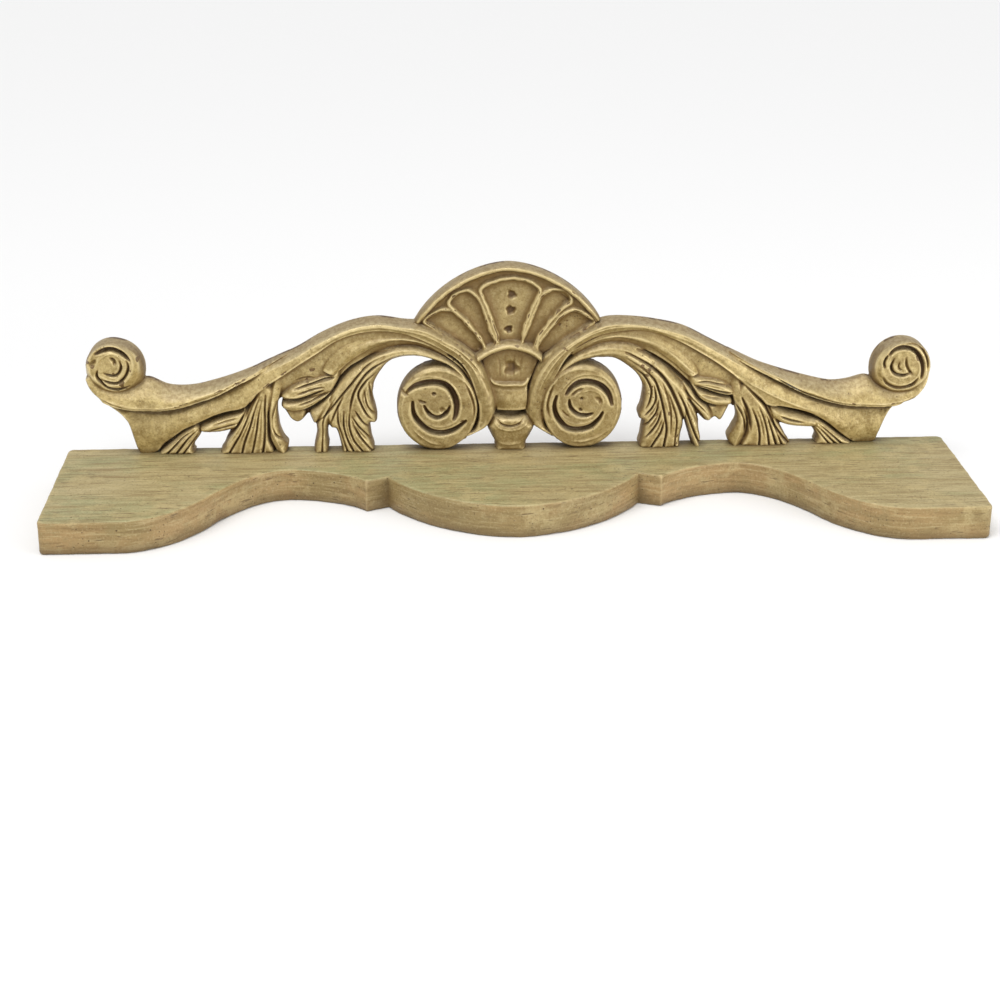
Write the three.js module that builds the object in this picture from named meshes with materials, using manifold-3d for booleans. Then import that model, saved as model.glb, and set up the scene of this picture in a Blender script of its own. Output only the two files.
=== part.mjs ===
// Carved headpiece: a pierced scroll-and-shell crest standing on a shaped shelf board.
// Millimetres, +Z up, X along the board, the flat back towards +Y.
// The origin is on the underside, under the middle of the board.
import * as THREE from "three";
import { mergeVertices } from "three/addons/utils/BufferGeometryUtils.js";
import Module from "manifold-3d";

// Shelf board
const BOARD_LENGTH = 900;
const BOARD_DEPTH = 200;
const BOARD_THICKNESS = 33;
const BOARD_EDGE = 2.5; // softened long edges, top and bottom
const BOARD_CORNER = 5; // rounding of the four upright corners
const EAR_LENGTH = 75; // straight front of each square end
const COVE_FROM_CENTRE = 222; // deepest point of the hollow beside the bow
const COVE_FROM_BACK = 70; // wood left behind that point
const SWELL_FROM_CENTRE = 295; // where the ogee turns from convex to concave
const SWELL_FROM_BACK = 137;
const NOTCH_FROM_CENTRE = 145.5; // outer corner of the small step beside the bow
const NOTCH_FROM_BACK = 104;
const NOTCH_WIDTH = 21.5;
const NOTCH_RISE = 10;
const BOW_FROM_BACK = 177; // reach of the round middle bow

// Carved crest
const CREST_END_MARGIN = 21; // bare board beyond each end scroll
const CREST_RISE = 192.5; // from the board up to the top of the shell
const CREST_DEPTH = 26; // thickness of the plank that it is carved from
const SEAT_GAP = 0.3; // between the crest's feet and the board

// The crest is drawn on a sheet of its own, in millimetres: d out from the middle, z up from
// the board and relief forward from the flat back. The sheet is then drawn out to the crest.
const SHEET_HALF = 429;
const SHEET_RISE = 192.5;
const SHEET_DEPTH = 26;
const CREST_HALF = BOARD_LENGTH / 2 - CREST_END_MARGIN;
const BACK = BOARD_DEPTH / 2;
const BEHIND = -2; // every stroke starts this far behind the back, which is then sawn flat

const wasm = await Module();
wasm.setup();

// Solids

function solidOf(geometry) {
  const bare = geometry.index ? geometry.toNonIndexed() : geometry.clone();
  bare.deleteAttribute("normal");
  bare.deleteAttribute("uv");
  const merged = mergeVertices(bare, 1e-4);
  return new wasm.Manifold(
    new wasm.Mesh({
      numProp: 3,
      vertProperties: merged.attributes.position.array,
      triVerts: new Uint32Array(merged.index.array),
    }),
  );
}

// A closed mesh whose faces are turned outwards whichever side of the crest it is on.
function closedSolid(points, faces) {
  const a = new THREE.Vector3();
  const b = new THREE.Vector3();
  const c = new THREE.Vector3();
  let volume = 0;
  for (const [i, j, k] of faces) {
    a.fromArray(points[i]);
    b.fromArray(points[j]);
    c.fromArray(points[k]);
    volume += a.dot(b.cross(c));
  }
  const turned = volume < 0 ? faces.map(([i, j, k]) => [i, k, j]) : faces;
  return new wasm.Manifold(
    new wasm.Mesh({
      numProp: 3,
      vertProperties: new Float32Array(points.flat()),
      triVerts: new Uint32Array(turned.flat()),
    }),
  );
}

function meshOf(name, solid, material) {
  const made = solid.getMesh();
  const geometry = new THREE.BufferGeometry();
  geometry.setAttribute("position", new THREE.BufferAttribute(made.vertProperties, 3));
  geometry.setIndex(new THREE.BufferAttribute(made.triVerts, 1));
  const mesh = new THREE.Mesh(geometry, material);
  mesh.name = name;
  return mesh;
}

// Drawing on the sheet

// side is -1 on the left and +1 on the right; relief runs forward from the back.
function place(side, d, z, relief) {
  return [
    (side * d * CREST_HALF) / SHEET_HALF,
    BACK - (relief * CREST_DEPTH) / SHEET_DEPTH,
    BOARD_THICKNESS + SEAT_GAP + (z * CREST_RISE) / SHEET_RISE,
  ];
}

// Catmull-Rom through rows of numbers, at u from 0 to rows.length - 1.
function rowAt(rows, u) {
  const i = Math.min(Math.floor(u), rows.length - 2);
  const t = u - i;
  const p0 = rows[Math.max(i - 1, 0)];
  const p1 = rows[i];
  const p2 = rows[i + 1];
  const p3 = rows[Math.min(i + 2, rows.length - 1)];
  return p1.map((_, k) => {
    const bend = 2 * p0[k] - 5 * p1[k] + 4 * p2[k] - p3[k];
    const twist = 3 * p1[k] - p0[k] - 3 * p2[k] + p3[k];
    return p1[k] + 0.5 * t * (p2[k] - p0[k] + t * (bend + t * twist));
  });
}

// Heights across a band, given at some places along it and blended between them.
function blendedRelief(keys, length) {
  const across = keys[0][1].length - 1;
  return (along, v) => {
    const u = along * length;
    let k = 0;
    while (k < keys.length - 2 && keys[k + 1][0] <= u) k += 1;
    const [from, low] = keys[k];
    const [to, high] = keys[Math.min(k + 1, keys.length - 1)];
    const mix = to > from ? THREE.MathUtils.clamp((u - from) / (to - from), 0, 1) : 0;
    const j = Math.round(v * across);
    return THREE.MathUtils.lerp(low[j], high[j], mix);
  };
}

// A band of carving between two edges. Each rung is [d, z] on one edge and [d, z] on the
// other; relief(along, v) is the height of the front, with v from 0 to 1 across the rung, and
// spread(along, v) is where on the rung that height stands.
function band(side, rungs, relief, across, perRung, spread = (along, v) => v) {
  const steps = Math.round((rungs.length - 1) * perRung);
  const ring = across + 3;
  const points = [];
  for (let s = 0; s <= steps; s += 1) {
    const along = s / steps;
    const [d1, z1, d2, z2] = rowAt(rungs, along * (rungs.length - 1));
    for (let j = 0; j <= across; j += 1) {
      const v = j / across;
      const share = spread(along, v);
      const height = relief(along, v);
      points.push(place(side, d1 + (d2 - d1) * share, z1 + (z2 - z1) * share, height));
    }
    points.push(place(side, d2, z2, BEHIND), place(side, d1, z1, BEHIND));
  }
  const faces = [];
  for (let s = 0; s < steps; s += 1) {
    for (let j = 0; j < ring; j += 1) {
      const a = s * ring + j;
      const b = s * ring + ((j + 1) % ring);
      faces.push([a, b, b + ring], [a, b + ring, a + ring]);
    }
  }
  const middle = Math.floor(across / 2);
  const cap = [[middle, across + 1, across + 2]];
  for (let j = 0; j < across; j += 1) {
    cap.push([j, j + 1, j < middle ? across + 2 : across + 1]);
  }
  const last = steps * ring;
  for (const [i, j, k] of cap) faces.push([k, j, i], [last + i, last + j, last + k]);
  return closedSolid(points, faces);
}

function plainBand(side, rungs, keys, perRung = 1.25) {
  return band(side, rungs, blendedRelief(keys, rungs.length - 1), keys[0][1].length - 1, perRung);
}

// One leaf lobe: a ridge from root to tip that bows sideways and narrows at both ends.
const LOBE_WIDTHS = [0.62, 0.95, 1, 0.78, 0.34];
const LOBE_FALL = 8; // from the ridge down to the lobe's edges

function lobe(side, [rootD, rootZ, tipD, tipZ, width, bow = 0, ridge = 22, tipRidge = 19]) {
  const length = Math.hypot(tipD - rootD, tipZ - rootZ);
  const sideD = -(tipZ - rootZ) / length;
  const sideZ = (tipD - rootD) / length;
  const rungs = LOBE_WIDTHS.map((share, i) => {
    const t = i / (LOBE_WIDTHS.length - 1);
    const off = 4 * bow * t * (1 - t);
    const half = (width * share) / 2;
    const d = rootD + (tipD - rootD) * t;
    const z = rootZ + (tipZ - rootZ) * t;
    return [
      d + sideD * (off + half),
      z + sideZ * (off + half),
      d + sideD * (off - half),
      z + sideZ * (off - half),
    ];
  });
  const relief = (along, v) => {
    const top = ridge - 4 * (1 - along) ** 3 - (ridge - tipRidge) * along ** 3;
    return top - LOBE_FALL * Math.abs(2 * v - 1);
  };
  return band(side, rungs, relief, 2, 1);
}

// A leaf of several flutes side by side, from its root to its tips.
const LEAF_RIDGE = [12, 20, 22, 20]; // along the leaf
const FLUTE_DEPTH = 5.5;
const LEAF_ROUND = 3; // how far the outer flutes drop back

function leaf(side, flutes, rungs) {
  const relief = (along, v) => {
    const [ridge] = rowAt(LEAF_RIDGE.map((h) => [h]), along * (LEAF_RIDGE.length - 1));
    const valley = Math.abs(Math.cos(Math.PI * flutes * v));
    return ridge - FLUTE_DEPTH * valley - LEAF_ROUND * (2 * v - 1) ** 2;
  };
  return band(side, rungs, relief, 2 * flutes, 1);
}

// A V-shaped cut along a line of [d, z], as a solid to take away.
function groove(side, line, width, floor) {
  const top = SHEET_DEPTH + 4;
  const steps = (line.length - 1) * 2;
  const points = [];
  for (let s = 0; s <= steps; s += 1) {
    const u = (s / steps) * (line.length - 1);
    const [d, z] = rowAt(line, u);
    const [dA, zA] = rowAt(line, Math.max(u - 0.05, 0));
    const [dB, zB] = rowAt(line, Math.min(u + 0.05, line.length - 1));
    const length = Math.hypot(dB - dA, zB - zA);
    const taper = Math.min(1, 0.25 + 4 * Math.min(s, steps - s) / steps);
    const sideD = (-(zB - zA) / length) * width * taper;
    const sideZ = ((dB - dA) / length) * width * taper;
    const depth = top - (top - floor) * taper;
    points.push(place(side, d + sideD, z + sideZ, top));
    points.push(place(side, d, z, depth));
    points.push(place(side, d - sideD, z - sideZ, top));
  }
  const faces = [[2, 1, 0]];
  for (let s = 0; s < steps; s += 1) {
    for (let j = 0; j < 3; j += 1) {
      const a = s * 3 + j;
      const b = s * 3 + ((j + 1) % 3);
      faces.push([a, b, b + 3], [a, b + 3, a + 3]);
    }
  }
  faces.push([steps * 3, steps * 3 + 1, steps * 3 + 2]);
  return closedSolid(points, faces);
}

// Turns of a scroll: [angle in degrees from outwards, radius] round a centre.
function turns([centreD, centreZ], stops) {
  return stops.map(([angle, radius]) => {
    const a = THREE.MathUtils.degToRad(angle);
    return [centreD + radius * Math.cos(a), centreZ + radius * Math.sin(a)];
  });
}

// The drum of a scroll: stacked ovals [relief, d, z, half width, half height] from the back.
const DRUM_SIDES = 24;

function drum(side, ovals) {
  const points = [];
  for (const [relief, d, z, halfWidth, halfHeight] of ovals) {
    for (let i = 0; i < DRUM_SIDES; i += 1) {
      const a = (2 * Math.PI * (i + 0.5)) / DRUM_SIDES;
      points.push(place(side, d + halfWidth * Math.cos(a), z + halfHeight * Math.sin(a), relief));
    }
  }
  const faces = [];
  for (let r = 0; r < ovals.length - 1; r += 1) {
    for (let i = 0; i < DRUM_SIDES; i += 1) {
      const a = r * DRUM_SIDES + i;
      const b = r * DRUM_SIDES + ((i + 1) % DRUM_SIDES);
      faces.push([a, b, b + DRUM_SIDES], [a, b + DRUM_SIDES, a + DRUM_SIDES]);
    }
  }
  const last = (ovals.length - 1) * DRUM_SIDES;
  for (let i = 1; i < DRUM_SIDES - 1; i += 1) {
    faces.push([0, i + 1, i], [last, last + i, last + i + 1]);
  }
  return closedSolid(points, faces);
}

// Left half, as d and z on the sheet
const LEFT = {
  armFace: [
    [413, 63, 405, 52], [398, 54, 386, 34], [384, 50, 376, 0], [368, 48.5, 360, 0],
    [350, 48, 349, 11], [325, 53, 327, 25], [300, 61, 300, 38], [275, 74, 272, 46],
    [258, 86, 262, 53], [241, 94.5, 250, 67], [214, 106.5, 224, 84], [188, 121.5, 197, 102],
    [160, 133, 170, 119], [133, 137.5, 138, 127], [107, 134, 107, 124], [84, 131, 84, 115],
    [60, 118, 62, 102], [42, 105, 50, 92], [30, 93, 41, 78], [21, 74, 35, 60],
    [14, 56, 31.5, 44], [14, 40, 32, 30], [21, 25, 37, 20], [40, 13, 53, 15],
  ],
  topRoll: [
    [412, 84, 423.5, 81], [408, 78, 420, 71], [400, 74, 411, 61.5], [386, 73, 397, 54.5],
    [373, 76, 382, 50.5], [362, 77, 368, 49.5], [346, 69.5, 350, 49], [332, 67.5, 330, 52],
    [316, 68.5, 314, 57], [299, 72.5, 297, 63], [279, 78.5, 277, 73.5], [258, 85.5, 259, 82],
  ],
  web: [
    [262, 60, 264, 45], [240, 76, 243, 50], [215, 92, 215, 62], [190, 110, 194, 56],
    [165, 122, 170, 66], [140, 128, 146, 86], [115, 126, 118, 100], [90, 120, 92, 103],
    [62, 102, 64, 94],
  ],
  tongue: [
    [188, 85.5, 177, 81], [185, 92.5, 171, 85.5], [179, 101, 164, 92], [168, 111, 152, 101],
    [150, 118.5, 136, 109.5], [128, 121.5, 119, 115], [105, 119.5, 103, 115.5],
    [84, 114, 84, 110.5], [64, 102, 65, 98.5], [48, 88, 51, 85],
  ],
  lowerBand: [
    [36, 58, 36.5, 53], [43, 74, 42, 66], [50, 85, 50, 77], [63, 96, 61, 88],
    [80, 104.5, 77, 95], [95, 109, 95, 99], [108, 109.5, 109, 98.5], [121, 108, 121, 94.5],
    [134, 103, 130, 85], [147, 95, 137, 72], [160, 84, 139, 58], [175, 70, 141, 45],
  ],
  hook: [
    [244, 68, 231, 64], [246, 48, 235, 48], [247, 30, 234.5, 32], [246, 14, 230, 18],
    [240, 0, 225.5, 9], [234, -4, 226, 0],
  ],
  // Each leaf is [number of flutes, rungs from its root to its tips].
  leaves: [
    [4, [[318, 33, 311, 23], [334, 20, 316, 14], [350, 5, 322, 4], [355, -4, 325, -4]]],
    [3, [[266, 46, 266, 29], [285, 39.5, 285, 22], [300, 35, 300, 19], [313, 28, 314, 21]]],
    [6, [[250, 74, 236, 68], [262, 50, 240, 48], [273, 29, 242, 29], [285, 14, 242, 14],
      [298, -4, 240, -4]]],
    [3, [[170, 88, 175, 76], [195, 79, 195, 66], [215, 72, 215, 58], [233, 62, 230, 56.5]]],
    [3, [[178, 74, 183, 60], [200, 62, 200, 48.5], [215, 56, 215, 42], [230, 53, 229, 45]]],
    [6, [[180, 74, 141, 66], [178, 54, 138, 52], [178, 32, 137, 35], [173.5, 14, 139, 17],
      [171, -4, 140, -4]]],
  ],
  lobes: [
    [176, 70, 201, 29, 11, 2], [176, 68, 193, -4, 12, -2, 23, 23],
    [144, 70, 136, 32, 10, 1, 20, 15], [186, 66, 190, 40, 12, 0, 19, 15],
  ],
  slotFloor: [[318, 31, 316, 22], [295, 41, 295, 27], [268, 48, 268, 34]],
  leafBack: [[230, 62, 230, 42], [210, 66, 213, 26], [190, 68, 190, 44], [176, 62, 176, 36]],
  scrollBed: [
    [88, 101, 86, 80], [63, 100, 64, 72], [40, 84, 54, 64], [24, 64, 50, 54], [20, 46, 50, 45],
    [22, 27, 50, 30], [40, 15, 56, 20],
  ],
  scrollCentre: [76, 48],
  scrollGrooves: [
    [5, 10, [[22, 35], [50, 28], [90, 25], [135, 24.5], [180, 23], [218, 24]]],
    [5, 10, [[213, 33], [236, 32.5], [259, 31.6], [304, 26.6], [341, 24.4], [365, 23]]],
    [4, 13, [[350, 11], [308, 11.5], [262, 14], [230, 15.5]]],
  ],
  endOvals: [
    [BEHIND, 395.5, 87, 29.5, 30.5], [9, 395.5, 88.5, 29.5, 29.5], [19, 397, 93, 26, 25.5],
    [25, 398, 96, 21.5, 20.5],
  ],
  endCentre: [398, 97],
  endGrooves: [
    [4, 12, [[170, 19.4], [135, 19], [99, 18], [52, 17], [8, 20]]],
    [3.5, 14, [[330, 16.6], [305, 19.5], [276, 20.5], [254, 21.5], [230, 22.5]]],
    [3, 15, [[305, 12], [265, 12], [218, 11.5], [180, 13], [160, 13.5]]],
  ],
};

const RIGHT = {
  armFace: [
    [404, 48, 402, 45], [393, 43.5, 390, 33], [384, 42, 378, 8], [370, 42, 370, 0],
    [357, 42, 355, 0], [340, 43.5, 342, 9], [320, 48.5, 325, 23], [300, 55.5, 303, 34],
    [280, 66, 280, 40], [263, 78, 263, 43], [248, 87, 249, 54], [230, 95.5, 232, 71],
    [205, 108.5, 212, 87], [176, 123.5, 190, 101], [148, 130.5, 165, 114.5],
    [122, 134, 136, 124], [98, 134, 107, 123], [80, 127.5, 84, 117], [60, 116, 66, 106],
    [44, 105, 56, 94], [31, 92, 48, 80], [23, 75, 40, 66], [19, 60, 36, 54],
    [16, 42, 34, 40], [20, 27, 36, 24], [31, 18, 43, 17], [43, 10, 56, 14],
  ],
  topRoll: [
    [413, 78, 426, 76], [411, 68, 421, 61], [403, 62, 411, 51], [389, 61, 396, 44.5],
    [376, 64, 383, 42.5], [364, 69, 368, 42.5], [345, 64.5, 348, 43.5], [327, 63.5, 330, 47],
    [301, 69.5, 304, 55.5], [274, 77.5, 277, 68.5], [252, 84.5, 252, 81],
  ],
  web: [
    [262, 50, 266, 40], [240, 68, 243, 45], [215, 86, 213, 60], [192, 100, 195, 50],
    [168, 114, 171, 62], [142, 124, 147, 84], [118, 124, 122, 98], [92, 120, 97, 102],
    [62, 104, 64, 92],
  ],
  tongue: [
    [191, 77, 182, 74.5], [187, 86, 175, 80], [180, 94, 168, 87], [168, 105, 157, 95.5],
    [150, 115, 142, 106], [130, 120.5, 122, 113.5], [107, 121, 105, 116], [86, 116, 88, 112.5],
    [68, 106.5, 70, 103.5],
  ],
  lowerBand: [
    [41, 68, 40, 62], [46, 79, 46, 71], [56, 90, 55, 81], [68, 100, 66, 89], [82, 107, 80, 93.5],
    [97, 111, 95, 95], [110, 111, 106, 94], [124, 108.5, 118, 87], [138, 99.5, 129, 77],
    [152, 87, 136, 63], [166, 74, 139, 52], [180, 60, 142, 42],
  ],
  hook: [
    [240, 64, 226, 58], [243, 46, 230, 42], [244, 30, 232.5, 29], [243, 14, 228, 16],
    [240, 1, 224, 8], [236, -4, 226, 0],
  ],
  leaves: [
    [4, [[317, 29, 311, 20], [331, 19, 316, 13], [346, 5, 318, 4], [353, -4, 320, -4]]],
    [3, [[268, 42, 268, 28], [285, 34, 285, 18.5], [300, 29.5, 300, 15.5], [315, 23, 315, 16.5]]],
    [6, [[243, 70, 228, 62], [260, 48, 236, 46], [273, 29, 241, 29], [282, 15, 241, 14],
      [292, -4, 238, -4]]],
    [3, [[180, 79, 184, 66], [200, 73, 200, 58], [215, 68, 215, 54], [229, 60, 227, 54]]],
    [3, [[186, 66, 191, 52], [205, 57, 205, 42], [226, 51, 225, 41]]],
    [6, [[187, 67, 141, 62], [179, 50, 136, 48], [176.5, 34, 136, 30], [175.5, 16, 134.5, 16],
      [172.5, -4, 136, -4]]],
  ],
  lobes: [
    [182, 62, 205, 25, 11, 2], [178, 62, 195, -4, 14, -2, 23, 23],
    [144, 64, 136, 34, 12, 2, 20, 15], [188, 62, 196, 36, 12, 0, 19, 15],
  ],
  slotFloor: [[318, 30, 316, 20], [295, 36, 295, 24], [268, 42, 268, 30]],
  leafBack: [[230, 60, 230, 40], [211, 62, 213, 20], [192, 64, 190, 42], [176, 62, 176, 36]],
  scrollBed: [
    [88, 104, 86, 80], [66, 102, 64, 72], [46, 92, 54, 64], [28, 66, 50, 54], [24, 46, 50, 45],
    [24, 28, 50, 30], [42, 16, 56, 20],
  ],
  scrollCentre: [78, 47],
  scrollGrooves: [
    [5, 10, [[5, 31], [45, 27], [85, 25], [122, 22.5], [150, 21]]],
    [5, 10, [[150, 33], [184, 32], [213, 33], [252, 29.5], [301, 21.5], [335, 17]]],
    [4, 13, [[165, 19], [208, 17], [275, 12.5], [315, 12.5]]],
  ],
  endOvals: [
    [BEHIND, 398.5, 77, 30, 32], [9, 398.5, 78.5, 30, 31], [19, 399, 82, 27, 27.5],
    [25, 399.5, 85.5, 22.5, 23.5],
  ],
  endCentre: [399, 86],
  endGrooves: [
    [4, 12, [[186, 20], [147, 17.5], [93, 17], [57, 16.6], [20, 17.5], [-17, 20.5]]],
    [3, 14, [[87, 21], [47, 22.5], [14, 23.5]]],
    [3, 15, [[178, 12], [225, 12], [270, 12], [315, 12.5]]],
  ],
};

// Heights across each kind of band, by the rung that they start at
const FACE_KEYS = [
  [0, [11, 14, 17, 17, 15]], [3, [11, 16, 20, 18, 14]], [6, [12, 16, 20, 21, 18]],
  [9, [9, 19, 23, 23, 21]], [13, [9, 20, 25, 25, 22]], [16, [18, 25, 26, 25, 21]],
  [20, [16, 22, 24, 23, 20]], [27, [10, 14, 17, 16, 13]],
];
const ROLL_KEYS = [
  [0, [15, 18, 21, 20]], [3, [8, 17, 23, 25]], [9, [5, 15, 22, 25]], [11, [12, 18, 23, 24]],
];
const WEB_KEYS = [[0, [17, 15, 14, 12]], [2, [19, 17, 15, 12]], [5, [18, 14, 11, 10]]];
const TONGUE_KEYS = [[0, [19, 24, 25, 20]], [6, [17, 22, 22, 17]], [9, [15, 17, 17, 15]]];
const LOWER_KEYS = [[0, [15, 18, 18, 13]], [4, [16, 23, 24, 15]], [11, [14, 16, 16, 10]]];
const HOOK_KEYS = [[0, [13, 20, 17]], [3, [15, 23, 17]], [5, [13, 20, 14]]];
const SLOT_KEYS = [[0, [7, 7]]];
const LEAF_BACK_KEYS = [[0, [9, 9]]];
const SCROLL_BED_KEYS = [[0, [8, 8]]];
const CENTRE_OVALS = [
  [BEHIND, 75, 44.5, 39.5, 45.5], [12, 75, 44.5, 39.5, 45.5], [20, 74.5, 44, 37.5, 43],
  [23, 74, 44, 33, 38],
];

function scroll(side, ovals, centre, grooves) {
  const cuts = grooves.map(([width, floor, stops]) => groove(side, turns(centre, stops), width, floor));
  return cuts.reduce((whole, cut) => whole.subtract(cut), drum(side, ovals));
}

function halfCrest(side, drawn) {
  return [
    plainBand(side, drawn.armFace, FACE_KEYS),
    plainBand(side, drawn.topRoll, ROLL_KEYS),
    plainBand(side, drawn.web, WEB_KEYS),
    plainBand(side, drawn.tongue, TONGUE_KEYS),
    plainBand(side, drawn.lowerBand, LOWER_KEYS),
    plainBand(side, drawn.hook, HOOK_KEYS),
    plainBand(side, drawn.slotFloor, SLOT_KEYS),
    plainBand(side, drawn.leafBack, LEAF_BACK_KEYS),
    plainBand(side, drawn.scrollBed, SCROLL_BED_KEYS),
    ...drawn.leaves.map(([flutes, rungs]) => leaf(side, flutes, rungs)),
    ...drawn.lobes.map((row) => lobe(side, row)),
    scroll(side, CENTRE_OVALS, drawn.scrollCentre, drawn.scrollGrooves),
    scroll(side, drawn.endOvals, drawn.endCentre, drawn.endGrooves),
  ];
}

// Shell

const SHELL_CENTRE = [-2, 105];
const SHELL_HALF = [102, 87]; // half width and height above the centre
const SHELL_POWER = 1.75; // 2 would be an ellipse, less is more pointed
const SHELL_RIBS = [-76, -68, -50, -26, 26, 50, 68, 76]; // degrees from the top
const SHELL_FOOT_HALF = 36; // the ribs land along a small arch, this far out and up
const SHELL_FOOT_RISE = 12;
const SHELL_FOOT_DROP = 22;
const RIB_SHARE = 0.06; // half a rib, as a share of the flute beside it
const FLUTE_STEP = 9; // degrees between the steps inside a flute
const FLUTE_HEAD = 0.84; // the arched head of a flute, as a share of the way to the rim
const HEAD_ARCH = 0.1; // how far the head drops towards the ribs
// From the centre outwards: the hollow of a flute, then its border, the cove and the rim.
const HOLLOW_SHARES = [0, 0.35, 0.7, 0.94, 1];
const HOLLOW_RELIEF = [13, 10, 9, 11, 16];
const RIM_SHARES = [0.88, 0.91, 0.95, 1];
const RIM_RELIEF = [17, 12, 22, 19];
const RIB_RELIEF = 17;

// Stations round the shell: [degrees from the top, 0 on a rib to 1 inside a flute].
function shellStations() {
  const stations = [];
  for (let i = 0; i < SHELL_RIBS.length - 1; i += 1) {
    const from = SHELL_RIBS[i];
    const width = SHELL_RIBS[i + 1] - from;
    const steps = Math.max(2, Math.round(width / FLUTE_STEP));
    stations.push([from, 0]);
    for (let k = 0; k <= steps; k += 1) {
      const share = RIB_SHARE + ((1 - 2 * RIB_SHARE) * k) / steps;
      stations.push([from + width * share, Math.min(1, 4 * share * (1 - share) + 0.3)]);
    }
  }
  stations.push([SHELL_RIBS.at(-1), 0]);
  return stations;
}

function shell() {
  const stations = shellStations();
  const rungs = stations.map(([degrees]) => {
    const a = THREE.MathUtils.degToRad(degrees);
    const s = Math.sin(a);
    const c = Math.cos(a);
    const [halfWidth, halfHeight] = SHELL_HALF;
    const sum = (Math.abs(s) / halfWidth) ** SHELL_POWER + (c / halfHeight) ** SHELL_POWER;
    const reach = sum ** (-1 / SHELL_POWER);
    const [d, z] = SHELL_CENTRE;
    const footD = d + s * SHELL_FOOT_HALF * Math.sqrt(Math.abs(s));
    const footZ = z + SHELL_FOOT_RISE - SHELL_FOOT_DROP * s * s;
    return [footD, footZ, d + s * reach, z + c * reach];
  });
  const across = HOLLOW_SHARES.length + RIM_SHARES.length - 1;
  const inside = (along) => stations[Math.round(along * (stations.length - 1))][1];
  const spread = (along, v) => {
    const j = Math.round(v * across);
    if (j >= HOLLOW_SHARES.length) return RIM_SHARES[j - HOLLOW_SHARES.length];
    return HOLLOW_SHARES[j] * FLUTE_HEAD * (1 - HEAD_ARCH * (1 - inside(along)));
  };
  const relief = (along, v) => {
    const j = Math.round(v * across);
    if (j >= HOLLOW_RELIEF.length) return RIM_RELIEF[j - HOLLOW_RELIEF.length];
    return THREE.MathUtils.lerp(RIB_RELIEF, HOLLOW_RELIEF[j], inside(along) > 0 ? 1 : 0);
  };
  return band(1, rungs, relief, across, 1, spread);
}

// Dimples: [d, z, radius, relief of the surface they are sunk in]
const DIMPLES = [[2, 160, 5, 11], [1, 144, 5.5, 10], [-1, 124, 4.5, 10], [3, 84, 9, 12]];

function dimple([d, z, radius, relief]) {
  const ball = new THREE.SphereGeometry(radius, 10, 8);
  const [x, y, height] = place(1, d, z, relief + radius * 0.5);
  ball.translate(x, y, height);
  return solidOf(ball);
}

// Middle: collar under the shell, cup, ledge, block and the pendant that meets the board
const COLLAR = [
  [-34, 99, -33, 90], [-21, 107, -18, 99.5], [0, 112.5, 0, 104], [22, 107, 19, 99], [33, 98, 32, 90],
];
const COLLAR_KEYS = [[0, [14, 19, 19, 15]]];
const CUP = [[-33, 104, 33, 104], [-26, 86, 26, 84], [-18, 66, 18, 66]];
const CUP_KEYS = [[0, [13, 11, 11, 13]]];
const LEDGE = [[-19, 70, 18, 69], [-20, 66.5, 19, 66], [-17, 63, 18, 62.5]];
const LEDGE_KEYS = [[0, [16, 16]], [1, [20, 20]], [2, [17, 17]]];
const BLOCK = [[-18, 66, 19, 66], [-14, 52, 17, 52], [-12, 41, 16, 41]];
const BLOCK_KEYS = [[0, [15, 18, 18, 15]], [1, [16, 19, 19, 16]], [2, [15, 17, 17, 15]]];
const MIDDLE_BACK = [
  [-90, 131, 90, 131], [-48, 108, 48, 108], [-32, 90, 34, 90], [-26, 62, 26, 62], [-24, 45, 24, 45],
  [-24, 24, 24, 23],
];
const MIDDLE_BACK_KEYS = [[0, [8, 8]]];
const PENDANT = [
  [-17, 35, 17, 35], [-21, 28, 21, 28], [-24, 23, 24, 23], [-17, 12, 18, 12], [-12, -4, 13, -4],
];
const PENDANT_KEYS = [
  [0, [13, 19, 19, 13]], [2, [15, 22, 22, 15]], [3, [15, 20, 20, 15]], [4, [11, 12, 12, 11]],
];
const PENDANT_MOON = [[-12, 37], [-8, 29.5], [0, 26.5], [8, 29.5], [12, 37]];

function middle() {
  return [
    plainBand(1, COLLAR, COLLAR_KEYS, 2),
    plainBand(1, CUP, CUP_KEYS),
    plainBand(1, LEDGE, LEDGE_KEYS),
    plainBand(1, BLOCK, BLOCK_KEYS),
    plainBand(1, MIDDLE_BACK, MIDDLE_BACK_KEYS),
    plainBand(1, PENDANT, PENDANT_KEYS),
  ];
}

// The plank that the crest is carved from: everything outside it is cut away.
function plank() {
  const box = new THREE.BoxGeometry(2 * BOARD_LENGTH, CREST_DEPTH, 2 * CREST_RISE);
  box.translate(0, BACK - CREST_DEPTH / 2, BOARD_THICKNESS + SEAT_GAP + CREST_RISE);
  return solidOf(box);
}

function carvedCrest() {
  const parts = [...halfCrest(-1, LEFT), ...halfCrest(1, RIGHT), shell(), ...middle()];
  let crest = parts.reduce((joined, part) => joined.add(part));
  for (const row of DIMPLES) crest = crest.subtract(dimple(row));
  crest = crest.subtract(groove(1, PENDANT_MOON, 3, 17));
  return crest.intersect(plank());
}

// Shelf board

const QUARTER_ARC = 0.5523; // handle length of a cubic curve that draws a quarter circle

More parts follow.
